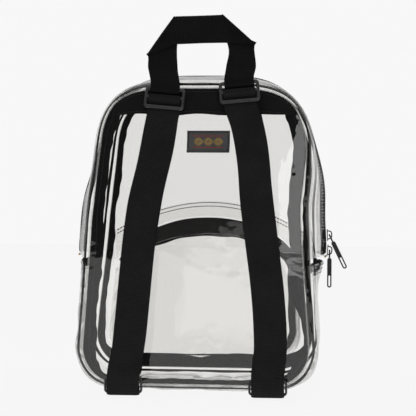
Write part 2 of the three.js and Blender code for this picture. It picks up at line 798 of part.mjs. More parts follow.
// The zip ends a little way up the dome, where its outline reaches that height.
const pocketEnd =
  3 + Math.asin((pocketZipEnd - pocketShoulder) / (pocketTop - pocketShoulder)) / (PI / 2);
const pocketLines = lines([2, 4, 3, 8], [pocketEnd]);
const pocketInset = (v) => mix(pocketSideInset, pocketTopInset, max(pocket.normal(v).y, 0) ** 2);
const pocketFaceY = halfDepth + crown + pocketDepth;

// The pocket's wall. t is 0 at the front panel and 1 at the pocket's face.
function pocketPoint(v, t, lift = 0) {
  const surface = (a, b) => {
    const p = pocket.point(a).addScaledVector(pocket.normal(a), -pocketInset(a) * b);
    const foot = frontFace(p.x, p.y) + gap + 0.2;
    return place(p.x, mix(foot, pocketFaceY, b), p.y);
  };
  const p = surface(v, t);
  const step = 1e-3;
  const along = surface(v + step, t).sub(surface(v - step, t));
  const across = surface(v, t + step).sub(surface(v, t - step));
  return p.addScaledVector(across.cross(along).normalize(), lift);
}

function pocketStrip(from, to, across, lift, thickness) {
  const rows = (height) =>
    between(pocketLines, from, to).map((v) => across.map((t) => pocketPoint(v, t, height)));
  return sheet(rows(lift), rows(lift - thickness));
}

const pocketRimShare = 1 - (pocketPiping + gap) / pocketDepth;

function pocketGusset() {
  return pocketStrip(-pocketEnd + seamGap, pocketEnd - seamGap, [0.01, 0.5, pocketRimShare], 0, vinyl);
}

function pocketZipTape() {
  const across = [0.02 + pocketTapeEdge, 0.44, 0.56, pocketRimShare - pocketTapeEdge];
  return pocketStrip(pocketEnd + seamGap, sectionCount - pocketEnd - seamGap, across, -0.1, tapeThickness);
}

function pocketCoil() {
  const end = pocketEnd + 0.05;
  return pocketStrip(end, sectionCount - end, [0.44, 0.56], coilThickness + gap - 0.1, coilThickness);
}

function pocketFrontFace(x, z) {
  const acrossX = min(abs(x) / pocketHalfBase, 1);
  const middle = (pocketBase + pocketTop) / 2;
  const acrossZ = min(abs(z - middle) / (middle - pocketBase), 1);
  return pocketFaceY + pocketCrown * (1 - acrossX ** 4) * (1 - acrossZ ** 4);
}

function pocketFront() {
  const rows = (shift) =>
    round(pocketLines).map((v) => {
      const inset = pocketInset(v) + pocketPiping + gap;
      const rim = pocket.point(v).addScaledVector(pocket.normal(v), -inset);
      return panelRings.map((k) => {
        const x = mix(0, rim.x, k);
        const z = mix(pocketMiddle, rim.y, k);
        return place(x, pocketFrontFace(x, z) + shift, z);
      });
    });
  return sheet(rows(0), rows(-vinyl), true);
}

function pocketWelt() {
  const centres = round(pocketLines).map((v) => {
    const n = pocket.normal(v);
    const p = pocket.point(v).addScaledVector(n, -pocketInset(v));
    const a = new THREE.Vector3(n.x, 0, n.y);
    return { at: place(p.x, pocketFaceY, p.y), a, b: new THREE.Vector3(0, 1, 0) };
  });
  return loopTube(centres, pocketPiping, 4);
}

function pocketTape() {
  const rows = (depth) =>
    round(pocketLines).map((v) =>
      [0.5, pocketBinding].map((more) => {
        const inset = pocketInset(v) + pocketPiping + gap + more;
        const p = pocket.point(v).addScaledVector(pocket.normal(v), -inset);
        const y = pocketFrontFace(p.x, p.y) - vinyl - gap - 0.1 - depth;
        return place(p.x, y, p.y);
      }),
    );
  return sheet(rows(0), rows(tapeThickness), true);
}

// The clear facing that is sewn to the front panel above the pocket's zip.
function pocketFacing() {
  const end = pocketEnd - 0.02;
  const endX = pocket.point(end).x + 0.6;
  const rows = (depth) =>
    between(pocketLines, end, sectionCount - end).map((v) =>
      [0, 0.5, 1].map((k) => {
        const low = pocket.point(v).addScaledVector(pocket.normal(v), 0.6);
        const share = low.x / endX;
        const x = mix(low.x, facingEndX * share, k);
        const z = mix(low.y, mix(facingTop, facingEndZ, share * share), k);
        return place(x, frontFace(x, z) + gap + 0.15 + depth, z);
      }),
    );
  return sheet(rows(tapeThickness), rows(0));
}

// Zip sliders and pulls. Both are drawn with the zip along Z, the bag towards -X, and the pivot
// of the pull at the origin, under the bridge.
const pivotHeight = bridgeHeight / 2;

function zipSlider() {
  const base = new THREE.Shape();
  const [l, w] = [sliderLength / 2, sliderWidth / 2];
  base.moveTo(-w * 0.55, -l);
  base.lineTo(w * 0.55, -l);
  base.lineTo(w, -l * 0.2);
  base.lineTo(w, l * 0.7);
  base.lineTo(w * 0.6, l);
  base.lineTo(-w * 0.6, l);
  base.lineTo(-w, l * 0.7);
  base.lineTo(-w, -l * 0.2);
  base.closePath();
  const deck = new THREE.ExtrudeGeometry(base, { depth: sliderThickness, bevelEnabled: false });
  deck.rotateX(PI / 2).rotateZ(PI / 2).translate(-pivotHeight - sliderThickness, 0, 0);
  const b = bridgeLength / 2;
  const high = bridgeHeight + bridgeBar;
  const arch = new THREE.Shape();
  arch.moveTo(-0.4, -b);
  arch.lineTo(bridgeHeight * 0.6, -b);
  arch.lineTo(high, -b * 0.6);
  arch.lineTo(high, b * 0.6);
  arch.lineTo(bridgeHeight * 0.6, b);
  arch.lineTo(-0.4, b);
  arch.lineTo(-0.4, b - bridgeBar);
  arch.lineTo(bridgeHeight * 0.5, b - bridgeBar);
  arch.lineTo(bridgeHeight, b * 0.45);
  arch.lineTo(bridgeHeight, -b * 0.45);
  arch.lineTo(bridgeHeight * 0.5, -b + bridgeBar);
  arch.lineTo(-0.4, -b + bridgeBar);
  arch.closePath();
  const bridge = new THREE.ExtrudeGeometry(arch, { depth: bridgeWidth, bevelEnabled: false });
  bridge.translate(-pivotHeight, 0, -bridgeWidth / 2).rotateX(PI / 2);
  return join(deck, bridge);
}

// The pull hangs towards -Z from its pivot, with its ring's cross bar on the pivot. Its ring
// goes round the bridge, and its paddle is flat in the same plane or, twisted, across it.
const pullRingEnd = pullRingLength + 1.6;

function pullRing() {
  const bar = 0.7;
  const neck = pullPaddleWidth / 2;
  const shape = new THREE.Shape();
  shape.moveTo(-pullRingWidth / 2, bar);
  shape.lineTo(-pullRingWidth / 2, -pullRingLength * 0.8);
  shape.lineTo(-neck, -pullRingEnd - 0.5);
  shape.lineTo(neck, -pullRingEnd - 0.5);
  shape.lineTo(pullRingWidth / 2, -pullRingLength * 0.8);
  shape.lineTo(pullRingWidth / 2, bar);
  shape.closePath();
  const hole = new THREE.Path();
  const h = pullRingHole / 2;
  hole.moveTo(-h, -bar);
  hole.lineTo(h, -bar);
  hole.lineTo(h, -pullRingLength * 0.75);
  hole.lineTo(0, -pullRingLength);
  hole.lineTo(-h, -pullRingLength * 0.75);
  hole.closePath();
  shape.holes.push(hole);
  return plate(shape, pullThickness).rotateZ(PI / 2);
}

function pullPaddle() {
  const half = pullPaddleWidth / 2;
  const low = -pullLength + half;
  const shape = new THREE.Shape();
  shape.moveTo(-half, -pullRingEnd);
  shape.lineTo(-half, low);
  shape.absarc(0, low, half, PI, 2 * PI, false);
  shape.lineTo(half, -pullRingEnd);
  shape.closePath();
  const slot = new THREE.Path();
  const s = pullSlotWidth / 2;
  slot.absarc(0, low, s, PI, 2 * PI, false);
  slot.absarc(0, low + pullSlotLength, s, 0, PI, false);
  slot.closePath();
  shape.holes.push(slot);
  return plate(shape, pullThickness, 4);
}

function zipPull(twisted) {
  const paddle = pullPaddle();
  return join(pullRing(), twisted ? paddle : paddle.rotateZ(PI / 2));
}

// The object
const backpack = new THREE.Group();

function add(name, geometry, material, frame) {
  const mesh = new THREE.Mesh(geometry, material);
  mesh.name = name;
  if (frame) {
    frame.decompose(mesh.position, mesh.quaternion, mesh.scale);
  }
  backpack.add(mesh);
  return mesh;
}

// A slider's frame on the main zip at a height: Z along the zip, X out from it.
function mainZipFrame(z) {
  const v = body.sideAt(z);
  const step = 1e-3;
  const at = gussetPoint(v, 0.5, -vinyl + coilThickness + gap + sliderThickness + pivotHeight);
  const up = gussetPoint(v + step, 0.5).sub(gussetPoint(v - step, 0.5)).normalize();
  const out = new THREE.Vector3(0, 1, 0).cross(up).normalize();
  return new THREE.Matrix4().makeBasis(out, new THREE.Vector3(0, 1, 0), up).setPosition(at);
}

function pocketZipFrame() {
  const v = mix(sectionCount - pocketEnd, pocketEnd, pocketSliderShare);
  const step = 1e-2;
  const lift = coilThickness + gap + gap + sliderThickness + pivotHeight + 0.3;
  const at = pocketPoint(v, 0.5, lift);
  const along = pocketPoint(v - step, 0.5).sub(pocketPoint(v + step, 0.5)).normalize();
  const across = pocketPoint(v, 0.51).sub(pocketPoint(v, 0.49));
  const out = across.clone().cross(along).normalize().negate();
  const side = along.clone().cross(out).normalize();
  return new THREE.Matrix4().makeBasis(out, side, along).setPosition(at);
}

add("back_panel", backPanel(), clear);
add("front_panel", frontPanel(), clear);
add("gusset_lower", gussetLower(), clear);
add("gusset_upper_back", gussetUpper(false), clear);
add("gusset_upper_front", gussetUpper(true), clear);
add("back_piping", seamPiping(-halfDepth, 0), clear);
add("front_piping", seamPiping(halfDepth, frontSpread), clear);
add("back_binding", seamBinding(backFace, 1, 0), blackTape);
add("front_binding", seamBinding(frontFace, -1, frontSpread), blackTape);
add("zip_tape_back", zipTape(false), blackTape);
add("zip_tape_front", zipTape(true), blackTape);
add("zip_coil", zipCoil(), plastic);
add("cross_seam_left", crossSeam(-1), blackTape);
add("cross_seam_right", crossSeam(1), blackTape);
add("yoke", yoke(), yokeCloth);
add("label", label(), labelCloth);
add("haul_handle", handle(), blackWebbing);
for (const [word, side] of [["left", -1], ["right", 1]]) {
  add(`strap_${word}`, strap(side), blackWebbing);
  add(`triglide_${word}`, triGlide(), plastic, glideFrame(side));
  const ringAt = place(side * strapBottomX + ringShift, ringY, ringBottom);
  add(`ring_${word}`, ring(), plastic).position.copy(ringAt);
  add(`ring_tab_${word}`, ringTab(side), blackWebbing);
}
add("pocket_front", pocketFront(), clear);
add("pocket_gusset", pocketGusset(), clear);
add("pocket_piping", pocketWelt(), clear);
add("pocket_binding", pocketTape(), blackTape);
add("pocket_facing", pocketFacing(), clear);
add("pocket_zip_tape", pocketZipTape(), blackTape);
add("pocket_zip_coil", pocketCoil(), plastic);
for (const [word, z, tip] of [["upper", upperSliderZ, upperPullLean], ["lower", lowerSliderZ, 0]]) {
  const frame = mainZipFrame(z);
  add(`zip_slider_${word}`, zipSlider(), blackMetal, frame);
  const pull = add(`zip_pull_${word}`, zipPull(true), blackMetal);
  pull.position.setFromMatrixPosition(frame);
  pull.rotation.y = -radians(tip);
}
const pocketFrame = pocketZipFrame();
add("pocket_zip_slider", zipSlider(), blackMetal, pocketFrame);
add("pocket_zip_pull", zipPull(false), blackMetal, pocketFrame);

export default backpack;
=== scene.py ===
from math import asin, cos, pi, radians, sin

import bpy
import numpy as np
from mathutils import Matrix, Vector


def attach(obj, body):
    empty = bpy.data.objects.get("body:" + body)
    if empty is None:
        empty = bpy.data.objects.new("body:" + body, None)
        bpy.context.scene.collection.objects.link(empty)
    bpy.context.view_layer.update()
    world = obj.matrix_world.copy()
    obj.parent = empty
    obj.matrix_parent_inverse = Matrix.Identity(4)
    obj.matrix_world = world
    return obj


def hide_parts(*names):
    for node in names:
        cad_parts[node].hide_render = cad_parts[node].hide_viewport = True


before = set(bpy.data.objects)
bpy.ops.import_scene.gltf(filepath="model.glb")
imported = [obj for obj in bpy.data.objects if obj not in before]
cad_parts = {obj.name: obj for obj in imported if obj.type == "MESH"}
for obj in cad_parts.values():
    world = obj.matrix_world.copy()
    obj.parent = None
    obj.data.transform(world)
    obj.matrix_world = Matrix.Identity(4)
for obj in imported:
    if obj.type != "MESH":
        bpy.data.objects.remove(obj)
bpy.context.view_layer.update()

# Lengths are in millimetres, as in the CAD model, and angles in degrees. make() and
# plate() turn the points into metres.
MM = 0.001

# Body
BASE_HALF_WIDTH = 109.5
SHOULDER_HALF_WIDTH = 99.8
WAIST_BOW = 0.3
BASE_CORNER = 35.0
SHOULDER_HEIGHT = 180.0
SEAM_TOP = 292.0
TOP_POWER = 4.5
BODY_DEPTH = 105.0
FRONT_SPREAD = 3.5
LEAN, LEAN_LOW, LEAN_HIGH = 6.8, 160.0, 245.0
FRONT_TWIST, TWIST_LOW, TWIST_HIGH = 4.4, 40.0, 170.0
FRONT_FADE_LOW, FRONT_FADE_HIGH = 200.0, 270.0
BASE_ROLL = 6.5
SIDE_ROLL = 8.3
TOP_ROLL = 6.0
TOP_RISE = 9.0
CORNER_BULGE = 7.0
ROLL_DEPTH = 10.0
RIDGE_HEIGHT = 11.3
RIDGE_LOW, RIDGE_FULL_LOW, RIDGE_FULL_HIGH, RIDGE_HIGH = 85.0, 140.0, 175.0, 250.0
CROWN = 4.0
CROWN_HEIGHT = 150.0

# Film, seams and tapes
FILM = 0.5
GAP = 0.3
PIPING_RADIUS = 1.5
WELT_RADIUS = 1.0
BINDING_WIDTH = 10.0
BACK_TAPE_SHOWS, FRONT_TAPE_SHOWS, FRONT_TAPE_EXTRA = 11.5, 6.5, 6.5
TAPE = 0.7
YOKE_BOTTOM = SEAM_TOP - 25.0
YOKE_THICKNESS = 1.1
LABEL_WIDTH, LABEL_HEIGHT = 41.0, 21.0
LABEL_X, LABEL_Z = 6.0, SEAM_TOP - 51.5
LABEL_THICKNESS = 0.8
STITCH_LENGTH, STITCH_PITCH, STITCH_RADIUS = 2.5, 3.2, 0.28

# Zips
ZIP_END_HEIGHT = 122.0
TAPE_HALF_WIDTH = 14.0
BARE_TAPE = 5.5
COIL_HALF_WIDTH = 3.0
COIL_THICKNESS = 1.6
COIL_PITCH = 1.4
CROSS_SEAM_HEIGHT = 8.0
SEAM_GAP = 0.002

# Webbing and its hardware
WEBBING = 31.0
WEBBING_THICKNESS = 1.2
RIB_PITCH = 1.75
RIB_HEIGHT = 0.19
HANDLE_WEBBING = 28.5
STRAP_TOP_X, STRAP_BOTTOM_X = 35.5, 68.3
RING_SHIFT = 3.0
STRAP_CURVE, STRAP_DRIFT, DRIFT_SHAPE = 1.7, 5.5, 0.6
GLIDE_Z = {-1: SEAM_TOP - 10.0, 1: SEAM_TOP - 4.0}
GLIDE_LEAN, GLIDE_TURN = 14.0, 5.0
GLIDE_WIDTH, GLIDE_BAR, GLIDE_CENTRE_BAR = 38.5, 3.5, 2.8
GLIDE_LOWER_SLOT, GLIDE_UPPER_SLOT = 6.4, 5.4
GLIDE_THICKNESS, GLIDE_BEVEL = 2.8, 0.9
SLOT_WIDTH = 32.4
FRONT_BOW, REAR_BOW = 4.0, 1.0
RING_BOTTOM, RING_BAR, RING_SLOT, RING_THICKNESS = 2.0, 3.2, 8.7, 3.2
RING_WIDTH, RING_BEVEL = 36.6, 1.0
TAB_THICKNESS, TAB_TOP = 1.2, 32.0

# Haul handle
HANDLE_TOP = SEAM_TOP + 70.0
HANDLE_BAND = 28.5
HANDLE_LEG_X = 36.0
FOLD_Z = {-1: HANDLE_TOP - 40.0, 1: HANDLE_TOP - 30.0}
HANDLE_TOP_X = {-1: -27.5, 1: 17.5}
HANDLE_FLARE = 52.0
HANDLE_BACK_LEAN = 18.0
HANDLE_LEAN_START = HANDLE_TOP - 62.0
HANDLE_BEND = HANDLE_TOP - 52.0

# Front pocket
POCKET_HALF_BASE, POCKET_HALF_TOP = 101.0, 97.0
POCKET_BASE, POCKET_CORNER = 10.0, 34.0
POCKET_SHOULDER, POCKET_TOP, POCKET_POWER = 105.0, 165.0, 2.0
POCKET_DEPTH = 22.0
POCKET_SIDE_INSET, POCKET_TOP_INSET = 5.0, 19.0
POCKET_CROWN = 4.0
POCKET_ZIP_END = 118.0
POCKET_PIPING = 1.1
POCKET_WELT = POCKET_PIPING * 0.6
POCKET_BINDING = 8.0
FACING_TOP, FACING_END_X, FACING_END_Z = 181.0, 99.0, 150.0
FACING_STITCH_INSETS = (1.4, 5.2)

# Sliders and pulls
SLIDER_Z = {"upper": 148.0, "lower": 133.0}
SLIDER_LENGTH, SLIDER_WIDTH, SLIDER_THICKNESS = 11.0, 8.0, 1.4
BRIDGE_LENGTH, BRIDGE_WIDTH, BRIDGE_HEIGHT, BRIDGE_BAR = 9.0, 2.2, 3.2, 1.2
PULL_LENGTH, PULL_RING_WIDTH, PULL_RING_HOLE, PULL_RING_LENGTH = 37.0, 7.0, 3.8, 7.0
PULL_WIDTH, PULL_THICKNESS = 4.4, 1.5
PULL_SLOT_LENGTH, PULL_SLOT_WIDTH = 9.0, 1.7
PULL_BEVEL = 0.35
PULL_LEAN = {"upper": 26.0, "lower": 0.0}
POCKET_SLIDER_SHARE = 0.3

# Camera: az 0 looks along +Y. The aim is in the plane of the back seam.
CAMERA_AZIMUTH, CAMERA_ELEVATION, CAMERA_ROLL = 4.8, 1.8, 0.24
CAMERA_DISTANCE = 1150.0
AIM_X, AIM_Z = 12.2, 177.1
MM_PER_PIXEL = 0.959
PHOTO_PIXELS = 416
SENSOR = 36.0

HALF_DEPTH = BODY_DEPTH / 2
GLIDE_Y = -HALF_DEPTH - 9.8
RING_Y = -HALF_DEPTH - 26.5
RIM_INSET = PIPING_RADIUS + GAP


# Numbers and lines

def mix(a, b, k):
    return a + (b - a) * k


def smooth(x, low, high):
    k = np.clip((x - low) / (high - low), 0, 1)
    return k * k * (3 - 2 * k)


def unit(a):
    return a / np.maximum(np.linalg.norm(a, axis=-1, keepdims=True), 1e-12)


def front_share(z):
    """How much of the front panel's spread and shift is left at a height."""
    return 1 - smooth(z, FRONT_FADE_LOW, FRONT_FADE_HIGH)


def place(x, y, z):
    """Points of the bag, which leans a little to +X towards its top, its front panel more so."""
    x, y, z = np.broadcast_arrays(np.asarray(x, float), y, z)
    twist = FRONT_TWIST * smooth(z, TWIST_LOW, TWIST_HIGH) * front_share(z)
    twist = twist * np.maximum(y + HALF_DEPTH, 0) / BODY_DEPTH
    return np.stack([x + LEAN * smooth(z, LEAN_LOW, LEAN_HIGH) + twist, y, z], -1)


def ripple(a, b, seed, size):
    """A smooth unevenness between about -1 and 1, with waves of about the given size."""
    rng = np.random.default_rng(seed)
    total = 0
    for _ in range(6):
        angle, phase, scale = rng.uniform(0, 2 * pi), rng.uniform(0, 2 * pi), rng.uniform(0.7, 1.6)
        total = total + np.sin(2 * pi * scale * (a * cos(angle) + b * sin(angle)) / size + phase)
    return total / 3


def lengths(points):
    steps = np.linalg.norm(np.diff(points[:, :3], axis=0), axis=1)
    return np.concatenate([[0], np.cumsum(steps)])


def woven(run, across):
    """Lengths along and across a cloth, for its weave."""
    return np.stack(np.broadcast_arrays(run[:, None], across), -1)


def lifted(surface, v, t, lift, step):
    """Points of a surface over v and t, moved out along its normal."""
    v, t = np.broadcast_arrays(np.asarray(v, float), np.asarray(t, float))
    along = surface(v + step, t) - surface(v - step, t)
    across = surface(v, t + step) - surface(v, t - step)
    return surface(v, t) + unit(np.cross(across, along)) * np.asarray(lift)[..., None]


def resample(points, step):
    """A smooth line through the points, cut at nearly equal steps. Its columns may be more than x, y, z."""
    at = lengths(points)
    slopes = np.gradient(points, at, axis=0)
    fine = np.linspace(0, at[-1], max(int(at[-1] / step), 2) + 1)
    i = np.clip(np.searchsorted(at, fine, side="right") - 1, 0, len(at) - 2)
    h = (at[i + 1] - at[i])[:, None]
    t = (fine - at[i])[:, None] / h
    return (
        (2 * t ** 3 - 3 * t ** 2 + 1) * points[i]
        + (t ** 3 - 2 * t ** 2 + t) * h * slopes[i]
        + (3 * t ** 2 - 2 * t ** 3) * points[i + 1]
        + (t ** 3 - t ** 2) * h * slopes[i + 1]
    )


class Outline:
    """A closed outline in the XZ plane: flat base, round corners, sides and a domed top.

    v runs 0 to 1 along half the base, to 2 round the corner, to 3 up the side and to 4 over
    the dome, and from 4 to 8 back down the other side.
    """

    def __init__(self, half_base, half_top, base, corner, shoulder, top, power, bow=0.0):
        self.half_base, self.half_top, self.bow = half_base, half_top, bow
        self.base, self.corner, self.shoulder, self.top = base, corner, shoulder, top
        self.power = power

    def point(self, v):
        v = np.asarray(v, float) % 8
        w = np.where(v > 4, 8 - v, v)
        turn = (np.clip(w, 1, 2) - 1) * pi / 2
        k = np.clip(w, 2, 3) - 2
        arc = (np.clip(w, 3, 4) - 3) * pi / 2
        flat = self.half_base - self.corner
        x = np.select(
            [w <= 1, w <= 2, w <= 3],
            [w * flat, flat + self.corner * np.sin(turn),
             mix(self.half_base, self.half_top, k) - self.bow * np.sin(pi * k)],
            self.half_top * np.clip(np.cos(arc), 0, 1) ** (2 / self.power),
        )
        z = np.select(
            [w <= 1, w <= 2, w <= 3],
            [np.full_like(w, self.base), self.base + self.corner * (1 - np.cos(turn)),
             mix(self.base + self.corner, self.shoulder, k)],
            self.shoulder + (self.top - self.shoulder) * np.sin(arc) ** (2 / self.power),
        )
        return np.where(v > 4, -x, x), z

    def normal(self, v):
        x0, z0 = self.point(np.asarray(v) - 1e-3)
        x1, z1 = self.point(np.asarray(v) + 1e-3)
        size = np.hypot(x1 - x0, z1 - z0)
        return (z1 - z0) / size, (x0 - x1) / size

    def side_at(self, z):
        return 2 + (z - self.base - self.corner) / (self.shoulder - self.base - self.corner)

    def spaced(self, start, end, pitch):
        """Values of v from start to end, at nearly equal lengths along the outline."""
        dense = np.linspace(start, end, int(600 * (end - start)) + 2)
        part = np.floor(dense)
        dense = part + smooth(dense - part, 0, 1)
        dense = np.clip(dense, start, end)
        x, z = self.point(dense)
        run = np.concatenate([[0], np.cumsum(np.hypot(np.diff(x), np.diff(z)))])
        even = np.linspace(0, run[-1], max(int(run[-1] / pitch), 2) + 1)
        return np.interp(even, run, dense), even

    def all_round(self, pitch):
        """The same once round the outline, without the place that repeats the first."""
        v, run = self.spaced(0, 8, pitch)
        return v[:-1], run[:-1]


body = Outline(BASE_HALF_WIDTH, SHOULDER_HALF_WIDTH, BASE_ROLL, BASE_CORNER, SHOULDER_HEIGHT,
               SEAM_TOP, TOP_POWER, WAIST_BOW)
pocket = Outline(POCKET_HALF_BASE, POCKET_HALF_TOP, POCKET_BASE, POCKET_CORNER, POCKET_SHOULDER,
                 POCKET_TOP, POCKET_POWER)
zip_end = float(body.side_at(ZIP_END_HEIGHT))
pocket_end = 3 + asin((POCKET_ZIP_END - POCKET_SHOULDER) / (POCKET_TOP - POCKET_SHOULDER)) / (pi / 2)


# Meshes

def shown(name, mesh, material, crease, body_name):
    """An object that rides on a body, with smooth faces and edges sharper than crease kept sharp."""
    mesh.polygons.foreach_set("use_smooth", np.ones(len(mesh.polygons), bool))
    mesh.set_sharp_from_angle(angle=radians(crease))
    mesh.materials.append(material)
    obj = bpy.data.objects.new(name, mesh)
    bpy.context.scene.collection.objects.link(obj)
    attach(obj, body_name)
    return obj


def make(name, verts, faces, material, cloth=None, body_name="bag", crease=40):
    """A mesh object in metres whose faces point outwards. cloth holds a pair of lengths for each vertex."""
    mesh = bpy.data.meshes.new(name)
    verts = np.asarray(verts, float)
    mesh.from_pydata((verts * MM).tolist(), [], faces)
    mesh.validate()
    tri = np.array([[f[0], f[k], f[k + 1]] for f in faces for k in range(1, len(f) - 1)])
    a, b, c = verts[tri[:, 0]], verts[tri[:, 1]], verts[tri[:, 2]]
    if np.einsum("ij,ij->i", a, np.cross(b, c)).sum() < 0:
        mesh.flip_normals()
    if cloth is not None:
        flat = np.zeros((len(verts), 3), np.float32)
        flat[:, :2] = cloth
        mesh.attributes.new("cloth", "FLOAT_VECTOR", "POINT").data.foreach_set("vector", flat.ravel())
    return shown(name, mesh, material, crease, body_name)


def quads(rows, cols, wrap, closed, offset=0):
    """The faces of a grid of points. wrap joins its last row to its first, closed its columns."""
    i = np.arange(rows if wrap else rows - 1)[:, None]
    j = np.arange(cols if closed else cols - 1)[None, :]
    n, m = (i + 1) % rows, (j + 1) % cols
    faces = np.stack([i * cols + j, n * cols + j, n * cols + m, i * cols + m], -1)
    return faces.reshape(-1, 4) + offset


def sheet(name, outer, inner, material, wrap=False, cloth=None):
    """A closed sheet between two grids of points."""
    rows, cols = outer.shape[:2]
    count = rows * cols
    faces = [quads(rows, cols, wrap, False), quads(rows, cols, wrap, False, count)[:, ::-1]]
    i = np.arange(rows if wrap else rows - 1)
    n = (i + 1) % rows
    for j, turn in ((0, 1), (cols - 1, -1)):
        rim = np.stack([i * cols + j, i * cols + j + count, n * cols + j + count, n * cols + j], -1)
        faces.append(rim[:, ::turn])
    if not wrap:
        j = np.arange(cols - 1)
        for i, turn in ((0, -1), (rows - 1, 1)):
            rim = np.stack([i * cols + j, i * cols + j + count, i * cols + j + 1 + count,
                            i * cols + j + 1], -1)
            faces.append(rim[:, ::turn])
    verts = np.concatenate([outer.reshape(-1, 3), inner.reshape(-1, 3)])
    if cloth is not None:
        cloth = np.concatenate([cloth.reshape(-1, 2)] * 2)
    return make(name, verts, np.concatenate(faces).tolist(), material, cloth)


def tube(name, loops, material, wrap=False, cloth=None, **more):
    """A closed tube through loops of points."""
    rows, cols = loops.shape[:2]
    faces = quads(rows, cols, wrap, True).tolist()
    if not wrap:
        faces += [list(range(cols))[::-1], list(range((rows - 1) * cols, rows * cols))]
    if cloth is not None:
        cloth = cloth.reshape(-1, 2)
    return make(name, loops.reshape(-1, 3), faces, material, cloth, **more)


def rods(name, starts, ends, radius, material, sides=6):
    """Many short rods with round ends, such as stitches or zip teeth, in one mesh."""
    axis = unit(ends - starts)
    helper = np.where(np.abs(axis[:, 1:2]) > 0.8, [[1.0, 0, 0]], [[0, 1.0, 0]])
    a = unit(np.cross(axis, helper))
    b = np.cross(axis, a)
    angle = np.arange(sides) * 2 * pi / sides
    circle = np.cos(angle)[None, :, None] * a[:, None] + np.sin(angle)[None, :, None] * b[:, None]
    rings = [(starts, 0.1, 0.55), (starts, 0.8, 1.0), (ends, -0.8, 1.0), (ends, -0.1, 0.55)]
    verts = np.stack(
        [(at + axis * radius * push)[:, None] + circle * radius * wide for at, push, wide in rings], 1)
    one = quads(len(rings), sides, False, True)
    size = len(rings) * sides
    offsets = (np.arange(len(starts)) * size)[:, None, None]
    faces = (one[None] + offsets).reshape(-1, 4).tolist()
    low, high = np.arange(sides)[::-1], np.arange(size - sides, size)
    faces += (np.stack([low, high])[None] + offsets).reshape(-1, sides).tolist()
    return make(name, verts.reshape(-1, 3), faces, material)


def stitches(name, line, material, radius=STITCH_RADIUS, pitch=STITCH_PITCH, long=STITCH_LENGTH):
    """A row of stitches along each line of points."""
    starts, ends = [], []
    for points in line if isinstance(line, list) else [line]:
        at = lengths(points)
        first = np.arange(0.4, at[-1] - long, pitch)
        pick = lambda s: np.stack([np.interp(s, at, points[:, k]) for k in range(3)], -1)
        starts.append(pick(first))
        ends.append(pick(first + long))
    return rods(name, np.concatenate(starts), np.concatenate(ends), radius, material, 5)


def plate(name, outlines, thickness, bevel, matrix, material, body_name="bag"):
    """A flat plate with rounded edges from closed outlines in its own XZ plane, the first of them its rim."""
    curve = bpy.data.curves.new(name, "CURVE")
    curve.dimensions = "2D"
    curve.fill_mode = "BOTH"
    curve.extrude = (thickness / 2 - bevel) * MM
    curve.bevel_depth = bevel * MM
    curve.bevel_resolution = 3
    for points in outlines:
        spline = curve.splines.new("POLY")
        spline.points.add(len(points) - 1)
        for p, (x, z) in zip(spline.points, points):
            p.co = (x * MM, z * MM, 0, 1)
        spline.use_cyclic_u = True
    holder = bpy.data.objects.new(name + "_outline", curve)
    bpy.context.scene.collection.objects.link(holder)
    bpy.context.view_layer.update()
    graph = bpy.context.evaluated_depsgraph_get()
    mesh = bpy.data.meshes.new_from_object(holder.evaluated_get(graph))
    bpy.data.objects.remove(holder)
    mesh.name = name
    mesh.transform(matrix @ Matrix.Rotation(pi / 2, 4, "X"))
    mesh.materials.clear()
    return shown(name, mesh, material, 35, body_name)


def rounded_rectangle(x0, z0, x1, z1, r, steps=6):
    points = []
    for cx, cz, start in ((x1 - r, z0 + r, -90), (x1 - r, z1 - r, 0), (x0 + r, z1 - r, 90),
                          (x0 + r, z0 + r, 180)):
        for k in range(steps + 1):
            a = radians(start + 90 * k / steps)
            points.append((cx + r * cos(a), cz + r * sin(a)))
    return points


def stands_for(obj, slot, *nodes):
    if nodes:
        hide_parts(*nodes)
    return obj


# Materials

def shader(name):
    material = bpy.data.materials.new(name)
    material.use_nodes = True
    nodes, links = material.node_tree.nodes, material.node_tree.links
    return material, nodes, links, nodes["Principled BSDF"]


def math_node(nodes, links, operation, a, b=0.0, clamp=False):
    node = nodes.new("ShaderNodeMath")
    node.operation = operation
    node.use_clamp = clamp
    for socket, value in zip(node.inputs, (a, b)):
        if isinstance(value, (int, float)):
            socket.default_value = value
        else:
            links.new(value, socket)
    return node.outputs[0]


def noise_node(nodes, links, scale, detail=3.0, vector=None):
    node = nodes.new("ShaderNodeTexNoise")
    node.inputs["Scale"].default_value = scale
    node.inputs["Detail"].default_value = detail
    if vector is None:
        vector = nodes.new("ShaderNodeTexCoord").outputs["Object"]
    links.new(vector, node.inputs["Vector"])
    return node.outputs["Fac"]


def tone(nodes, links, fac, dark, light):
    """A colour between two tones."""
    ramp = nodes.new("ShaderNodeValToRGB")
    ramp.color_ramp.elements[0].color = (*dark, 1)
    ramp.color_ramp.elements[1].color = (*light, 1)
    links.new(fac, ramp.inputs["Fac"])
    return ramp.outputs["Color"]


def bump(nodes, links, height, strength, distance):
    node = nodes.new("ShaderNodeBump")
    node.inputs["Strength"].default_value = strength
    node.inputs["Distance"].default_value = distance * MM
    links.new(height, node.inputs["Height"])
    return node.outputs["Normal"]


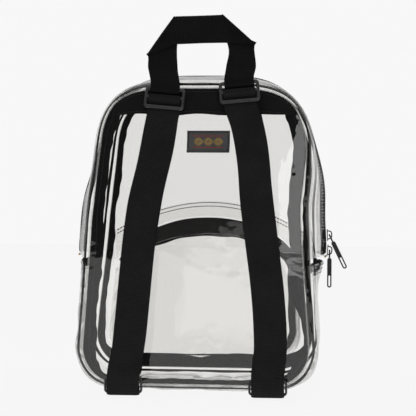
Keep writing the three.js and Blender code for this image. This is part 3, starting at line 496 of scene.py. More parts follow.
def film_material(name, tint, gloss_roughness, haze_and_highlight):
    """Clear film: it lets light straight through, and its gloss follows Fresnel."""
    material, nodes, links, principled = shader(name)
    nodes.remove(principled)
    through = nodes.new("ShaderNodeBsdfTransparent")
    through.inputs["Color"].default_value = (*tint, 1)
    gloss = nodes.new("ShaderNodeBsdfGlossy")
    gloss.inputs["Roughness"].default_value = gloss_roughness
    # The white milk is a real faint haze on the clear film. On the piping it is strong, a painted highlight
    # that whitens its ridge.
    milk_haze_and_highlight = nodes.new("ShaderNodeBsdfDiffuse")
    milk_haze_and_highlight.inputs["Color"].default_value = (0.8, 0.8, 0.78, 1)
    uneven = noise_node(nodes, links, 38.0, 2.0)
    normal = bump(nodes, links, uneven, 0.35, 1.2)
    links.new(normal, gloss.inputs["Normal"])
    facing = nodes.new("ShaderNodeLayerWeight")
    facing.inputs["Blend"].default_value = 0.5
    links.new(normal, facing.inputs["Normal"])
    grazing = math_node(nodes, links, "POWER", facing.outputs["Facing"], 5.0)
    share = math_node(nodes, links, "MULTIPLY", grazing, 0.9)
    share = math_node(nodes, links, "ADD", share, 0.04, clamp=True)
    through_and_milk = nodes.new("ShaderNodeMixShader")
    through_and_milk.inputs["Fac"].default_value = haze_and_highlight
    links.new(through.outputs[0], through_and_milk.inputs[1])
    links.new(milk_haze_and_highlight.outputs[0], through_and_milk.inputs[2])
    whole = nodes.new("ShaderNodeMixShader")
    links.new(share, whole.inputs["Fac"])
    links.new(through_and_milk.outputs[0], whole.inputs[1])
    links.new(gloss.outputs[0], whole.inputs[2])
    links.new(whole.outputs[0], nodes["Material Output"].inputs["Surface"])
    return material


def cloth_material(name, dark, light, along, across, relief, roughness, sheen):
    """Woven cloth: yarns along and across it, at the given pitches in millimetres."""
    material, nodes, links, principled = shader(name)
    cloth = nodes.new("ShaderNodeAttribute")
    cloth.attribute_name = "cloth"
    split = nodes.new("ShaderNodeSeparateXYZ")
    links.new(cloth.outputs["Vector"], split.inputs[0])
    waves = []
    for axis, pitch in (("X", along), ("Y", across)):
        turned = math_node(nodes, links, "MULTIPLY", split.outputs[axis], 2 * pi / pitch)
        wave = math_node(nodes, links, "SINE", turned)
        waves.append(math_node(nodes, links, "MULTIPLY_ADD", wave, 0.5))
        waves[-1].node.inputs[2].default_value = 0.5
    weave = math_node(nodes, links, "MULTIPLY", waves[0], waves[1])
    fuzz = noise_node(nodes, links, 900.0, 3.0)
    height = math_node(nodes, links, "MULTIPLY_ADD", fuzz, 0.5)
    links.new(weave, height.node.inputs[2])
    wear = noise_node(nodes, links, 45.0, 4.0)
    # Painted shade: the colour follows the weave's height, darker in the grooves between yarns and lighter on
    # their crowns. The wear noise mixed in is a real uneven tone.
    wear_and_groove_shade = math_node(nodes, links, "MULTIPLY_ADD", wear, 0.45)
    links.new(math_node(nodes, links, "MULTIPLY", height, 0.55), wear_and_groove_shade.node.inputs[2])
    links.new(tone(nodes, links, wear_and_groove_shade, dark, light), principled.inputs["Base Color"])
    links.new(bump(nodes, links, height, 0.7, relief), principled.inputs["Normal"])
    principled.inputs["Roughness"].default_value = roughness
    principled.inputs["Specular IOR Level"].default_value = 0.1
    principled.inputs["Sheen Weight"].default_value = sheen
    principled.inputs["Sheen Roughness"].default_value = 0.45
    return material


def moulded_material(name, dark, light, roughness, grain, metallic=0.0):
    """Moulded plastic or painted metal, with a fine grain and slightly worn tones."""
    material, nodes, links, principled = shader(name)
    fine = noise_node(nodes, links, 1600.0, 2.0)
    worn = noise_node(nodes, links, 120.0, 4.0)
    links.new(tone(nodes, links, worn, dark, light), principled.inputs["Base Color"])
    links.new(bump(nodes, links, fine, grain, 0.05), principled.inputs["Normal"])
    rough = math_node(nodes, links, "MULTIPLY_ADD", worn, 0.25)
    rough.node.inputs[2].default_value = roughness - 0.12
    links.new(rough, principled.inputs["Roughness"])
    principled.inputs["Metallic"].default_value = metallic
    return material


def grey(value):
    return (value, value * 0.985, value * 1.01)


film = film_material("clear_film", (0.975, 0.973, 0.968), 0.03, 0.003)
# Painted highlight: the piping is clear film, and its strong white milk paints the highlight along its ridge.
piping_film = film_material("piping_painted_highlight", (0.94, 0.94, 0.93), 0.12, 0.25)
strap_cloth = cloth_material("strap_webbing", grey(0.0005), grey(0.026), RIB_PITCH, 1.1, 0.3, 0.75, 0.04)
handle_cloth = cloth_material("handle_webbing", grey(0.0005), grey(0.013), RIB_PITCH, 1.1, 0.3, 0.8, 0.02)
tape_cloth = cloth_material("binding_tape", grey(0.002), grey(0.008), 1.2, 0.9, 0.08, 0.85, 0.02)
zip_cloth = cloth_material("zip_tape", grey(0.003), grey(0.014), 0.9, 0.7, 0.08, 0.8, 0.03)
yoke_cloth = cloth_material("yoke_cloth", grey(0.004), grey(0.016), 0.6, 0.6, 0.05, 0.9, 0.03)
label_cloth = cloth_material("label_cloth", grey(0.05), grey(0.13), 0.7, 0.5, 0.08, 0.85, 0.2)
gold_thread = cloth_material("gold_thread", (0.65, 0.36, 0.03), (0.95, 0.66, 0.12), 0.5, 0.5, 0.06, 0.5, 0.3)
red_thread = cloth_material("red_thread", (0.3, 0.02, 0.015), (0.6, 0.05, 0.03), 0.5, 0.5, 0.06, 0.5, 0.3)
black_thread = moulded_material("black_thread", grey(0.006), grey(0.02), 0.7, 0.3)
plastic = moulded_material("black_acetal", grey(0.02), grey(0.032), 0.3, 0.15)
coil_plastic = moulded_material("zip_teeth", grey(0.01), grey(0.022), 0.4, 0.1)
metal = moulded_material("black_zinc", (0.012, 0.012, 0.013), (0.03, 0.031, 0.03), 0.3, 0.12, 0.6)
brass = moulded_material("zip_stop_metal", (0.42, 0.28, 0.14), (0.62, 0.45, 0.26), 0.35, 0.1, 0.8)


# Body surfaces

def roll(v, z, t):
    edge = np.minimum(t, 1 - t) * (BODY_DEPTH / ROLL_DEPTH)
    profile = np.where(edge >= 1, 1, np.sqrt(np.clip(1 - (1 - edge) ** 2, 0, 1)))
    proud = mix(BASE_ROLL, SIDE_ROLL, smooth(z, BASE_ROLL, BASE_ROLL + BASE_CORNER))
    proud = mix(proud, TOP_ROLL, smooth(z, SHOULDER_HEIGHT, SEAM_TOP - TOP_ROLL))
    w = np.abs((np.asarray(v) + 4) % 8 - 4)
    swell = TOP_RISE * smooth(w, 3.5, 4) + CORNER_BULGE * np.sin(pi * np.clip(w - 1, 0, 1)) ** 3
    fade = np.clip((z - RIDGE_FULL_HIGH) / (RIDGE_HIGH - RIDGE_FULL_HIGH), 0, 1)
    ridge = RIDGE_HEIGHT * smooth(z, RIDGE_LOW, RIDGE_FULL_LOW) * np.cos(fade * pi / 2) ** 2
    arch = np.sin(pi * np.clip(t, 0, 1))
    return proud * profile + swell * arch + ridge * arch ** 3


def gusset_surface(v, t):
    x, z = body.point(v)
    nx, nz = body.normal(v)
    out = roll(v, z, t) + FRONT_SPREAD * t * np.abs(nx) * front_share(z)
    return place(x + nx * out, mix(-HALF_DEPTH, HALF_DEPTH, t), z + nz * out)


def gusset(v, t, lift=0.0):
    """Points of the gusset. t is 0 at the back seam and 1 at the front seam."""
    return lifted(gusset_surface, v, t, lift, 1e-4)


def billow(x, z):
    across_x = np.minimum(np.abs(x) / (BASE_HALF_WIDTH - 4), 1)
    across_z = np.minimum(np.abs(z - CROWN_HEIGHT) / (SEAM_TOP - CROWN_HEIGHT), 1)
    return CROWN * (1 - across_x ** 4) * (1 - across_z ** 4)


def back_face(x, z):
    return -HALF_DEPTH - billow(x, z)


def front_face(x, z):
    return HALF_DEPTH + billow(x, z)


def creases(v, run, t, seed):
    """How far the soft gusset film wrinkles: long folds across the seams, and a pucker beside them."""
    _, z = body.point(v)
    edge = np.minimum(t, 1 - t) * BODY_DEPTH
    low = smooth(-z, -125, -70)
    folds = ripple(run * 0.9, t * 40, seed, 34) * (0.25 + 0.45 * low)
    pucker = 0.12 * np.sin(2 * pi * run / 7 + 3 * ripple(run, t, seed + 1, 50)) * np.exp(-edge / 6)
    return (folds + pucker) * np.clip(edge / 3, 0, 1)


# Clear film

def panel_film(name, shape, inset_of, centre_z, face, inward, seed, node, spread=0.0):
    """A clear panel inside its seam, with the faint waves of soft film."""
    v, run = shape.all_round(2.6)
    nx, nz = shape.normal(v)
    x, z = shape.point(v)
    reach = spread * np.abs(nx) * front_share(z) - inset_of(v)
    x, z = x + nx * reach, z + nz * reach
    k = 1 - np.linspace(0, 1, 48) ** 1.5
    k[-1] = 0.004
    px, pz = mix(0.0, x[:, None], k), mix(centre_z, z[:, None], k)
    edge = (1 - k)[None, :] * 100
    waves = ripple(px, pz, seed, 90) * 0.3 + ripple(px, pz, seed + 1, 30) * 0.03
    pucker = 0.08 * np.sin(2 * pi * run / 8 + 2 * ripple(run, 0, seed + 2, 60))[:, None]
    y = face(px, pz) + (waves * np.clip(edge / 12, 0, 1) + pucker * np.exp(-edge / 7)) * 0.8
    outer, inner = place(px, y, pz), place(px, y + inward * FILM, pz)
    return stands_for(sheet(name, outer, inner, film, wrap=True), "clear_vinyl", node)


def gusset_film(name, start, end, low_t, high_t, seed, node):
    v, run = body.spaced(start, end, 2.0)
    cluster = (1 - np.cos(np.linspace(0, pi, 56))) / 2
    t = mix(low_t, high_t, cluster)
    lift = creases(v[:, None], run[:, None], t[None, :], seed)
    outer = gusset(v[:, None], t[None, :], lift)
    inner = gusset(v[:, None], t[None, :], lift - FILM)
    return stands_for(sheet(name, outer, inner, film), "clear_vinyl", node)


def from_zip(distance):
    return 0.5 - distance / BODY_DEPTH


def build_films():
    inset = lambda v: np.full_like(v, PIPING_RADIUS * 0.6)
    panel_film("back_film", body, inset, CROWN_HEIGHT, back_face, 1, 11, "back_panel")
    panel_film("front_film", body, inset, CROWN_HEIGHT, front_face, -1, 23, "front_panel", FRONT_SPREAD)
    gusset_film("lower_film", -zip_end + SEAM_GAP, zip_end - SEAM_GAP, 0.002, 0.998, 31, "gusset_lower")
    start, end = zip_end + SEAM_GAP, 8 - zip_end - SEAM_GAP
    gusset_film("upper_film_back", start, end, 0.002, from_zip(BARE_TAPE), 41, "gusset_upper_back")
    gusset_film("upper_film_front", start, end, 1 - from_zip(BARE_TAPE), 0.998, 43, "gusset_upper_front")


# Seams

def welt(name, v, seam, radius, node):
    """Piping along a seam. seam gives its centre and its outward direction in the XZ plane."""
    centre, out = seam(v)
    angle = np.arange(10) * 2 * pi / 10
    across = np.array([0, 1.0, 0])
    loops = (centre[:, None] + radius * np.cos(angle)[None, :, None] * out[:, None]
             + radius * np.sin(angle)[None, :, None] * across)
    return stands_for(tube(name, loops, piping_film, wrap=True), "clear_vinyl", node)


def body_seam(y, spread):
    def seam(v):
        x, z = body.point(v)
        nx, nz = body.normal(v)
        reach = spread * np.abs(nx) * front_share(z)
        return place(x + nx * reach, y, z + nz * reach), np.stack([nx, 0 * nx, nz], -1)
    return seam


def rear_width(x, z, nx, nz):
    """The width of the tape that shows behind the back seam: narrow low on the right and at the bottom."""
    low_right = smooth(x, 60, 100) * smooth(-z, -95, -60) * smooth(z, 20, 45)
    return BACK_TAPE_SHOWS * (1 - 0.72 * low_right) * (1 - 0.5 * smooth(-nz, 0.6, 0.95))


def fore_width(x, z, nx, nz):
    """The same at the front seam, which is narrow at the sides and wide at the bottom."""
    return FRONT_TAPE_SHOWS + FRONT_TAPE_EXTRA * smooth(-nz, 0.3, 0.9)


def binding(name, face, inward, spread, width_of, seed, node):
    """Black tape over the seam allowance behind a panel. Its free edge is wavy."""
    v, run = body.all_round(1.5)
    nx, nz = body.normal(v)
    x, z = body.point(v)
    wave = 1.5 * ripple(run, 0, seed, 75) + 0.5 * ripple(run, 0, seed + 1, 22)
    wide = width_of(x, z, nx, nz) + wave
    share = np.linspace(0, 1, 8)
    inset = 0.2 + wide[:, None] * share
    inset = inset - (spread * np.abs(nx) * front_share(z))[:, None]
    px, pz = x[:, None] - nx[:, None] * inset, z[:, None] - nz[:, None] * inset
    buckle = 0.35 * ripple(run, 0, seed + 2, 30)[:, None] * share ** 2
    lift = FILM + 0.9 + buckle + 0.6 * share * np.abs(wave)[:, None]
    near = place(px, face(px, pz) + inward * lift, pz)
    far = place(px, face(px, pz) + inward * (lift + TAPE), pz)
    cloth = woven(run, share * BINDING_WIDTH)
    tape = sheet(name, near, far, tape_cloth, wrap=True, cloth=cloth)
    stands_for(tape, "binding", node)
    thread = stitches(name + "_stitches", near[:, 3] - [0, inward * 0.15, 0], black_thread)
    stands_for(thread, "binding")


def binding_return(name, near_t, seed):
    """The narrow side of the same tape, round the seam on the inside of the gusset."""
    v, run = body.all_round(2.0)
    share = np.linspace(0, 1, 6)
    t = (1.3 + (2.6 + 0.6 * ripple(run, 0, seed, 40))[:, None] * share) / BODY_DEPTH
    t = t if near_t else 1 - t
    outer = gusset(v[:, None], t, -FILM - 0.35)
    inner = gusset(v[:, None], t, -FILM - 0.35 - TAPE)
    cloth = woven(run, share * 4)
    stands_for(sheet(name, outer, inner, tape_cloth, wrap=True, cloth=cloth), "binding")


def build_seams():
    v = body.all_round(1.6)[0]
    welt("back_welt", v, body_seam(-HALF_DEPTH, 0), WELT_RADIUS, "back_piping")
    welt("front_welt", v, body_seam(HALF_DEPTH, FRONT_SPREAD), WELT_RADIUS, "front_piping")
    binding("back_tape", back_face, 1, 0, rear_width, 51, "back_binding")
    binding("front_tape", front_face, -1, FRONT_SPREAD, fore_width, 61, "front_binding")
    binding_return("back_tape_return", True, 71)
    binding_return("front_tape_return", False, 72)


# Main zip

def zip_tape(name, at_front, node):
    start, end = zip_end + 4 * SEAM_GAP, 8 - zip_end - 4 * SEAM_GAP
    v, run = body.spaced(start, end, 1.5)
    side = np.linspace(from_zip(TAPE_HALF_WIDTH), from_zip(0.3), 14)
    t = 1 - side if at_front else side
    lift = -FILM - GAP - 0.15 * np.abs(ripple(run, 0, 81, 40))[:, None]
    cloth = woven(run, side * BODY_DEPTH)
    outer, inner = gusset(v[:, None], t, lift), gusset(v[:, None], t, lift - TAPE)
    stands_for(sheet(name, outer, inner, zip_cloth, cloth=cloth), "binding", node)
    rows = []
    for distance in (BARE_TAPE + 1.2, BARE_TAPE + 3.4, TAPE_HALF_WIDTH - 1.5):
        t_row = from_zip(distance)
        rows.append(gusset(v, 1 - t_row if at_front else t_row, 0.12))
    stands_for(stitches(name + "_stitches", rows, black_thread), "binding")


def zip_teeth(name, points, width, thickness, node):
    """Two rows of coil teeth that meet in the middle. points gives places by length, side and lift."""
    count = int(points.length / COIL_PITCH)
    starts, ends = [], []
    for side in (-1, 1):
        at = (np.arange(count) + (0.5 if side > 0 else 0.0)) * COIL_PITCH + 0.5
        starts.append(points(at, side * 0.12 * width, thickness * 0.62))
        ends.append(points(at, side * width, thickness * 0.5))
        starts.append(points(at + COIL_PITCH * 0.4, side * 0.4 * width, thickness * 0.2))
        ends.append(points(at + COIL_PITCH * 0.4, side * width, thickness * 0.3))
    teeth = rods(name, np.concatenate(starts), np.concatenate(ends), COIL_PITCH * 0.42, coil_plastic)
    return stands_for(teeth, "black_plastic", node)


class ZipLine:
    """Places along a zip, by length along it, distance to one side, and lift."""

    def __init__(self, shape, start, end, surface, base_lift):
        self.v, self.run = shape.spaced(start, end, 1.0)
        self.length = self.run[-1] - 1
        self.surface, self.base_lift = surface, base_lift

    def __call__(self, at, side, lift):
        v = np.interp(at, self.run, self.v)
        return self.surface(v, side, self.base_lift + lift)


def cross_seam(side):
    """The folded tape inside the seam at an end of the zip, with its stitches and its zip stop."""
    word = "right" if side > 0 else "left"
    high, low = zip_end + SEAM_GAP, float(body.side_at(ZIP_END_HEIGHT - CROSS_SEAM_HEIGHT))
    v = np.linspace(low, high, 10)
    t = np.linspace(0.09, 0.91, 70)
    wave = 0.5 * ripple(t * BODY_DEPTH, 0, 91, 20)
    lean = (high - low) * 0.12 * ripple(t * BODY_DEPTH, 0, 93, 26)
    flat = (v[:, None] + lean) * side
    lift = -FILM - GAP - 0.8 + 0.3 * wave
    run = (v - low) / (high - low) * CROSS_SEAM_HEIGHT
    cloth = np.stack(np.broadcast_arrays(t * BODY_DEPTH, run[:, None]), -1)
    outer, inner = (gusset(flat, t, lift + shift) for shift in (0, -TAPE))
    tape = sheet(f"end_tape_{word}", outer, inner, tape_cloth, cloth=cloth)
    stands_for(tape, "binding", f"cross_seam_{word}")
    rows = [gusset((low + k * (high - low) + lean) * side, t, 0.15) for k in (-0.25, 0.15, 0.7)]
    stands_for(stitches(f"end_stitches_{word}", rows, black_thread), "binding")
    stop_v = float(body.side_at(ZIP_END_HEIGHT + 5)) * side
    a = gusset(np.full(2, stop_v), from_zip(np.array([4.6, -4.6])), 0.9)
    stop = rods(f"zip_stop_{word}", a[:1], a[1:], 1.1, brass, 10)
    stands_for(stop, "black_metal")


def build_main_zip():
    zip_tape("rear_zip_tape", False, "zip_tape_back")
    zip_tape("fore_zip_tape", True, "zip_tape_front")
    start, end = zip_end + 6 * SEAM_GAP, 8 - zip_end - 6 * SEAM_GAP
    surface = lambda v, side, lift: gusset(v, 0.5 + side / BODY_DEPTH, lift)
    line = ZipLine(body, start, end, surface, -FILM - GAP)
    zip_teeth("zip_teeth", line, COIL_HALF_WIDTH, COIL_THICKNESS, "zip_coil")
    cross_seam(-1)
    cross_seam(1)


# Yoke and label

def build_yoke():
    highest = float(body.side_at(SHOULDER_HEIGHT)) + 0.44
    v, run = body.spaced(highest, 8 - highest, 1.5)
    x, z = body.point(v)
    nx, nz = body.normal(v)
    x, z = x - nx * RIM_INSET, z - nz * RIM_INSET
    k = np.linspace(0, 1, 26)
    sag = 0.8 * ripple(x, 0, 101, 70) - 0.6
    pz = mix(z[:, None], np.minimum(YOKE_BOTTOM + sag, z - 0.5)[:, None], k)
    px = np.broadcast_to(x[:, None], pz.shape)
    bulge = 0.15 * ripple(px, pz, 103, 45) * np.sin(pi * k)
    hem = 0.35 * (np.abs(k - 0.93) < 0.075)
    y = back_face(px, pz) - GAP - 0.25 + bulge
    cloth = np.stack([px, pz], -1)
    front, rear = place(px, y - YOKE_THICKNESS - hem + 0.2, pz), place(px, y, pz)
    stands_for(sheet("yoke_band", front, rear, yoke_cloth, cloth=cloth), "yoke_cloth", "yoke")
    keep = slice(6, -6)
    rows = [front[keep, 22] - [0, 0.12, 0], front[keep, 2] - [0, 0.12, 0]]
    stands_for(stitches("yoke_stitches", rows, black_thread), "yoke_cloth")


def label_point(x, z, out):
    """A place on the label, x and z from its middle."""
    x, z = np.asarray(x, float) + LABEL_X, np.asarray(z, float) + LABEL_Z
    return place(x, back_face(x, z) - GAP - 0.25 - np.asarray(out, float), z)


def diamond(cx, cz, wide, high, out):
    corners = np.array([(wide, 0), (0, high), (-wide, 0), (0, -high)]) / 2
    return label_point(cx + corners[:, 0], cz + corners[:, 1], out)


def build_label():
    """A patch with a stitched border and a plain generic pattern of lines and diamonds."""
    x = np.linspace(-0.5, 0.5, 60) * LABEL_WIDTH
    z = np.linspace(-0.5, 0.5, 34) * LABEL_HEIGHT
    px, pz = np.meshgrid(x, z, indexing="ij")
    edge = np.minimum(LABEL_WIDTH / 2 - np.abs(px), LABEL_HEIGHT / 2 - np.abs(pz))
    dome = LABEL_THICKNESS * (0.6 + 0.4 * smooth(edge, 0, 1.6))
    cloth = np.stack([px, pz], -1)
    patch = sheet("label_patch", label_point(px, pz, dome), label_point(px, pz, 0.0 * px), label_cloth,
                  cloth=cloth)
    stands_for(patch, "label_cloth", "label")
    a, b = LABEL_WIDTH / 2 - 1.5, LABEL_HEIGHT / 2 - 1.5
    top = LABEL_THICKNESS + 0.3
    fine = lambda p, q: label_point(np.linspace(p[0], q[0], 40), np.linspace(p[1], q[1], 40), top)
    corners = [(-a, -b), (a, -b), (a, b), (-a, b), (-a, -b)]
    border = [fine(p, q) for p, q in zip(corners, corners[1:])]
    stands_for(stitches("label_border", border, black_thread, 0.6, 3.2, 2.1), "label_cloth")
    lines = [fine((-a + 4, s * 5.4), (a - 4, s * 5.4)) for s in (-1, 1)]
    stands_for(stitches("label_lines", lines, red_thread, 0.32, 0.9, 0.85), "label_cloth")
    rings = []
    for cx in (-9.5, 0.0, 9.5):
        for size in (1.0, 0.55):
            loop = diamond(cx, 0, 8.6 * size, 8.0 * size, top)
            rings += [np.linspace(loop[i], loop[(i + 1) % 4], 12) for i in range(4)]
    stands_for(stitches("label_diamonds", rings, gold_thread, 0.34, 0.8, 0.75), "label_cloth")


# Webbing

def webbing(name, path, across, width, slot, nodes, cloth_look, thickness=WEBBING_THICKNESS):
    """Ribbed webbing along a path. width may change along it."""
    wide = np.broadcast_to(width, len(path))[:, None]
    line = resample(np.hstack([path, across, wide]), RIB_PITCH / 5)
    centre, w, half = line[:, :3], unit(line[:, 3:6]), line[:, 6:] / 2
    run = lengths(centre)
    normal = unit(np.cross(unit(np.gradient(centre, axis=0)), w))
    rib = np.cos(2 * pi * run / RIB_PITCH)[:, None]
    u = np.concatenate([np.linspace(-1, 1, 13), np.linspace(1, -1, 13)[1:-1]])
    face = np.concatenate([np.ones(13), -np.ones(11)])
    profile = np.sqrt(np.clip(1 - np.abs(u) ** 14, 0, 1)) * face
    deep = (thickness / 2 - 0.02 - RIB_HEIGHT * (0.5 - 0.5 * rib)) * profile
    side = u * (half - 0.15 + 0.15 * rib * np.abs(u) ** 6)
    uneven = 0.12 * ripple(run, 0, len(name), 60)[:, None] * u
    loops = centre[:, None] + side[..., None] * w[:, None] + (deep + uneven)[..., None] * normal[:, None]
    cloth = woven(run, side)
    return stands_for(tube(name, loops, cloth_look, cloth=cloth), slot, *nodes)


def glide_matrix(side):
    turn = Matrix.Rotation(radians(-GLIDE_TURN * side), 4, "Y")
    tip = Matrix.Rotation(radians(-GLIDE_LEAN), 4, "X")
    at = place(side * STRAP_TOP_X, GLIDE_Y, GLIDE_Z[side])
    return Matrix.Translation(Vector(at)) @ turn @ tip


def in_glide(side, x, up, out):
    """A place in a tri-glide's own directions."""
    return np.array(glide_matrix(side) @ Vector((x, -out, up)))


LAYER = WEBBING_THICKNESS / 2 + GAP
PILE = WEBBING_THICKNESS + GAP
GLIDE_HALF = GLIDE_CENTRE_BAR / 2
GLIDE_LOW = -GLIDE_HALF - GLIDE_LOWER_SLOT - GLIDE_BAR
GLIDE_HIGH = GLIDE_HALF + GLIDE_UPPER_SLOT + GLIDE_BAR


def strap_x(z, top_z):
    k = np.clip((z - RING_BOTTOM) / (top_z - RING_BOTTOM), 0, 1)
    return mix(STRAP_BOTTOM_X, STRAP_TOP_X, k ** STRAP_CURVE)


def strap_drift(z, top_z):
    low = RING_BOTTOM + 2 * RING_BAR + RING_SLOT + 2
    k = np.clip((z - low) / (top_z - low), 0, 1)
    return RING_SHIFT * (1 - k) + STRAP_DRIFT * np.sin(pi * k ** DRIFT_SHAPE)


def round_corner(y, z, sy, sz, distance):
    slant = distance * 0.7071
    return [(y + sy * distance, z), (y + sy * slant, z + sz * slant), (y, z + sz * distance)]


def strap(side):
    """One shoulder strap: from the tri-glide down the front, round the ring and up to the yoke."""
    along = np.array(glide_matrix(side).to_3x3() @ Vector((1, 0, 0)))
    top_z = GLIDE_Z[side]
    half = GLIDE_THICKNESS / 2
    tail = -half - LAYER - PILE
    top = [in_glide(side, 0, up, out) for up, out in (
        (GLIDE_LOW - 5, tail - 0.2), (-GLIDE_HALF - GLIDE_LOWER_SLOT, tail),
        (-3, -half - LAYER - 0.9), (0, -half - LAYER),
        (GLIDE_HALF + LAYER * 0.6, -half - LAYER * 0.5), (GLIDE_HALF + LAYER, 0),
        (GLIDE_HALF + LAYER * 0.6, half + LAYER * 0.6), (-GLIDE_HALF, half + LAYER + 0.2),
        (-GLIDE_HALF - GLIDE_LOWER_SLOT * 0.95, -half - LAYER - 0.2),
        (GLIDE_LOW - 0.5, -half - LAYER - 0.2))]
    free = lambda z, y: place(side * strap_x(z, top_z) + strap_drift(z, top_z), y, z)
    low_y = RING_Y - RING_THICKNESS / 2 - LAYER
    ring_top = RING_BOTTOM + 2 * RING_BAR + RING_SLOT
    start = top[-1]
    front = [free(mix(start[2], ring_top, k), mix(start[1], low_y - 2 * PILE, k) - FRONT_BOW * sin(pi * k))
             for k in (0.08, 0.2, 0.35, 0.5, 0.65, 0.8, 0.92, 1)]
    bar = RING_THICKNESS / 2
    behind = RING_Y + bar + LAYER
    loop = (round_corner(RING_Y - bar, RING_BOTTOM, -1, -1, LAYER)
            + round_corner(RING_Y + bar, RING_BOTTOM, 1, -1, LAYER)[::-1]
            + [(behind, RING_BOTTOM + RING_BAR), (behind - 0.6, RING_BOTTOM + RING_BAR + 1.4),
               (RING_Y, RING_BOTTOM + RING_BAR + 3.2), (low_y - 0.3, RING_BOTTOM + RING_BAR + 5.2),
               (low_y - PILE - 0.1, RING_BOTTOM + RING_BAR + 6.8), (low_y - PILE - 0.1, ring_top + 2)])
    under = [free(z, y) for y, z in loop]
    sewn_low = YOKE_BOTTOM + 1
    sewn = lambda z: back_face(STRAP_TOP_X, z) - GAP - 1.2 - LAYER - 0.1
    rear_start = under[-1]
    rear = [free(mix(rear_start[2], sewn_low, k),
                 mix(rear_start[1], sewn(sewn_low), k) - REAR_BOW * sin(pi * k))
            for k in (0.12, 0.3, 0.5, 0.7, 0.88)]
    anchor = [free(z, sewn(z)) for z in (mix(sewn_low, top_z + 2, k) for k in (0, 0.5, 1))]
    path = np.array(top + front + under + rear + anchor)
    across = []
    for i, p in enumerate(path):
        step = strap_x(p[2] - 1, top_z) - strap_x(p[2] + 1, top_z)
        slope = unit(np.array([1, 0, side * step / 2]))
        flat = len(top) <= i and p[2] < ring_top + 1
        across.append(along if i < len(top) else np.array([1.0, 0, 0]) if flat else slope)
    word = "right" if side > 0 else "left"
    webbing(f"shoulder_strap_{word}", path, np.array(across), WEBBING, "webbing", [f"strap_{word}"],
            strap_cloth)


def ring_tab(side):
    word = "right" if side > 0 else "left"
    low, clear = RING_BOTTOM + RING_BAR + RING_SLOT, TAB_THICKNESS / 2 + GAP
    high = low + RING_BAR
    face = back_face(side * STRAP_BOTTOM_X + RING_SHIFT, TAB_TOP) - clear - 0.1
    near, far = RING_Y - RING_THICKNESS / 2, RING_Y + RING_THICKNESS / 2
    line = [(face, TAB_TOP), (face - 0.2, high + 8), (face - 2.5, high + 4.5),
            (far + 4, high + clear + 0.5), (far, high + clear)]
    line += round_corner(near, high, -1, 1, clear)[::-1] + round_corner(near, low, -1, -1, clear)
    line += [(far, low - clear), (far + 3, low - clear + 0.6), (face - 4, low + 1)]
    path = np.array([place(side * STRAP_BOTTOM_X + RING_SHIFT, y, z) for y, z in line])
    across = np.tile([1.0, 0, 0], (len(path), 1))
    webbing(f"tab_{word}", path, across, WEBBING - 1, "webbing", [f"ring_tab_{word}"], strap_cloth)


def handle_depth(z):
    k = np.maximum(z - HANDLE_LEAN_START, 0) / (HANDLE_TOP - HANDLE_LEAN_START)
    return HANDLE_BACK_LEAN * k * k


BAND_Y = GLIDE_Y - 3.2
BAND_LOW = HANDLE_TOP - HANDLE_BAND
HANDLE_INNER = HANDLE_LEG_X - HANDLE_WEBBING / 2
HANDLE_OUTER = HANDLE_LEG_X + HANDLE_WEBBING / 2
HANDLE_TOP_POINT = {-1: (HANDLE_TOP_X[-1], HANDLE_TOP - 1.5), 1: (HANDLE_TOP_X[1], HANDLE_TOP)}
HANDLE_CORNER = {-1: (-HANDLE_FLARE, FOLD_Z[-1]), 1: (HANDLE_FLARE - 2, FOLD_Z[1])}


def handle_band():
    """The band across the top. Its two ends are cut by the slanting folds, and its ribs stand upright."""
    top = np.array([HANDLE_TOP_POINT[-1], (-25, HANDLE_TOP - 1.3), (0, HANDLE_TOP - 0.7),
                    (HANDLE_TOP_X[1] - 1, HANDLE_TOP - 0.1), HANDLE_TOP_POINT[1]])
    low = np.array([HANDLE_CORNER[-1], (-HANDLE_INNER - 4, BAND_LOW - 1), (0, BAND_LOW),
                    (HANDLE_INNER, BAND_LOW + 0.3), HANDLE_CORNER[1]])
    share = np.linspace(0, 4, 300)
    edge = lambda line: np.stack([np.interp(share, range(5), line[:, k]) for k in (0, 1)], -1)
    u = np.linspace(0, 1, 16)[None, :, None]
    flat = mix(edge(top)[:, None], edge(low)[:, None], u)
    rib = RIB_HEIGHT * np.cos(2 * pi * flat[..., 0] / RIB_PITCH)
    edge_round = np.sqrt(np.clip(1 - np.abs(2 * u[..., 0] - 1) ** 14, 0, 1))
    deep = (WEBBING_THICKNESS / 2 - RIB_HEIGHT) * edge_round
    flat[..., 1] += np.where(u[..., 0] == 0, 1, np.where(u[..., 0] == 1, -1, 0)) * rib
    y = BAND_Y + handle_depth(flat[..., 1]) - WEBBING_THICKNESS / 2
    front = place(flat[..., 0], y - deep - rib * edge_round, flat[..., 1])
    rear = place(flat[..., 0], y + deep, flat[..., 1])
    cloth = np.stack([flat[..., 0], flat[..., 1]], -1)
    return sheet("handle_band", front, rear, handle_cloth, cloth=cloth)


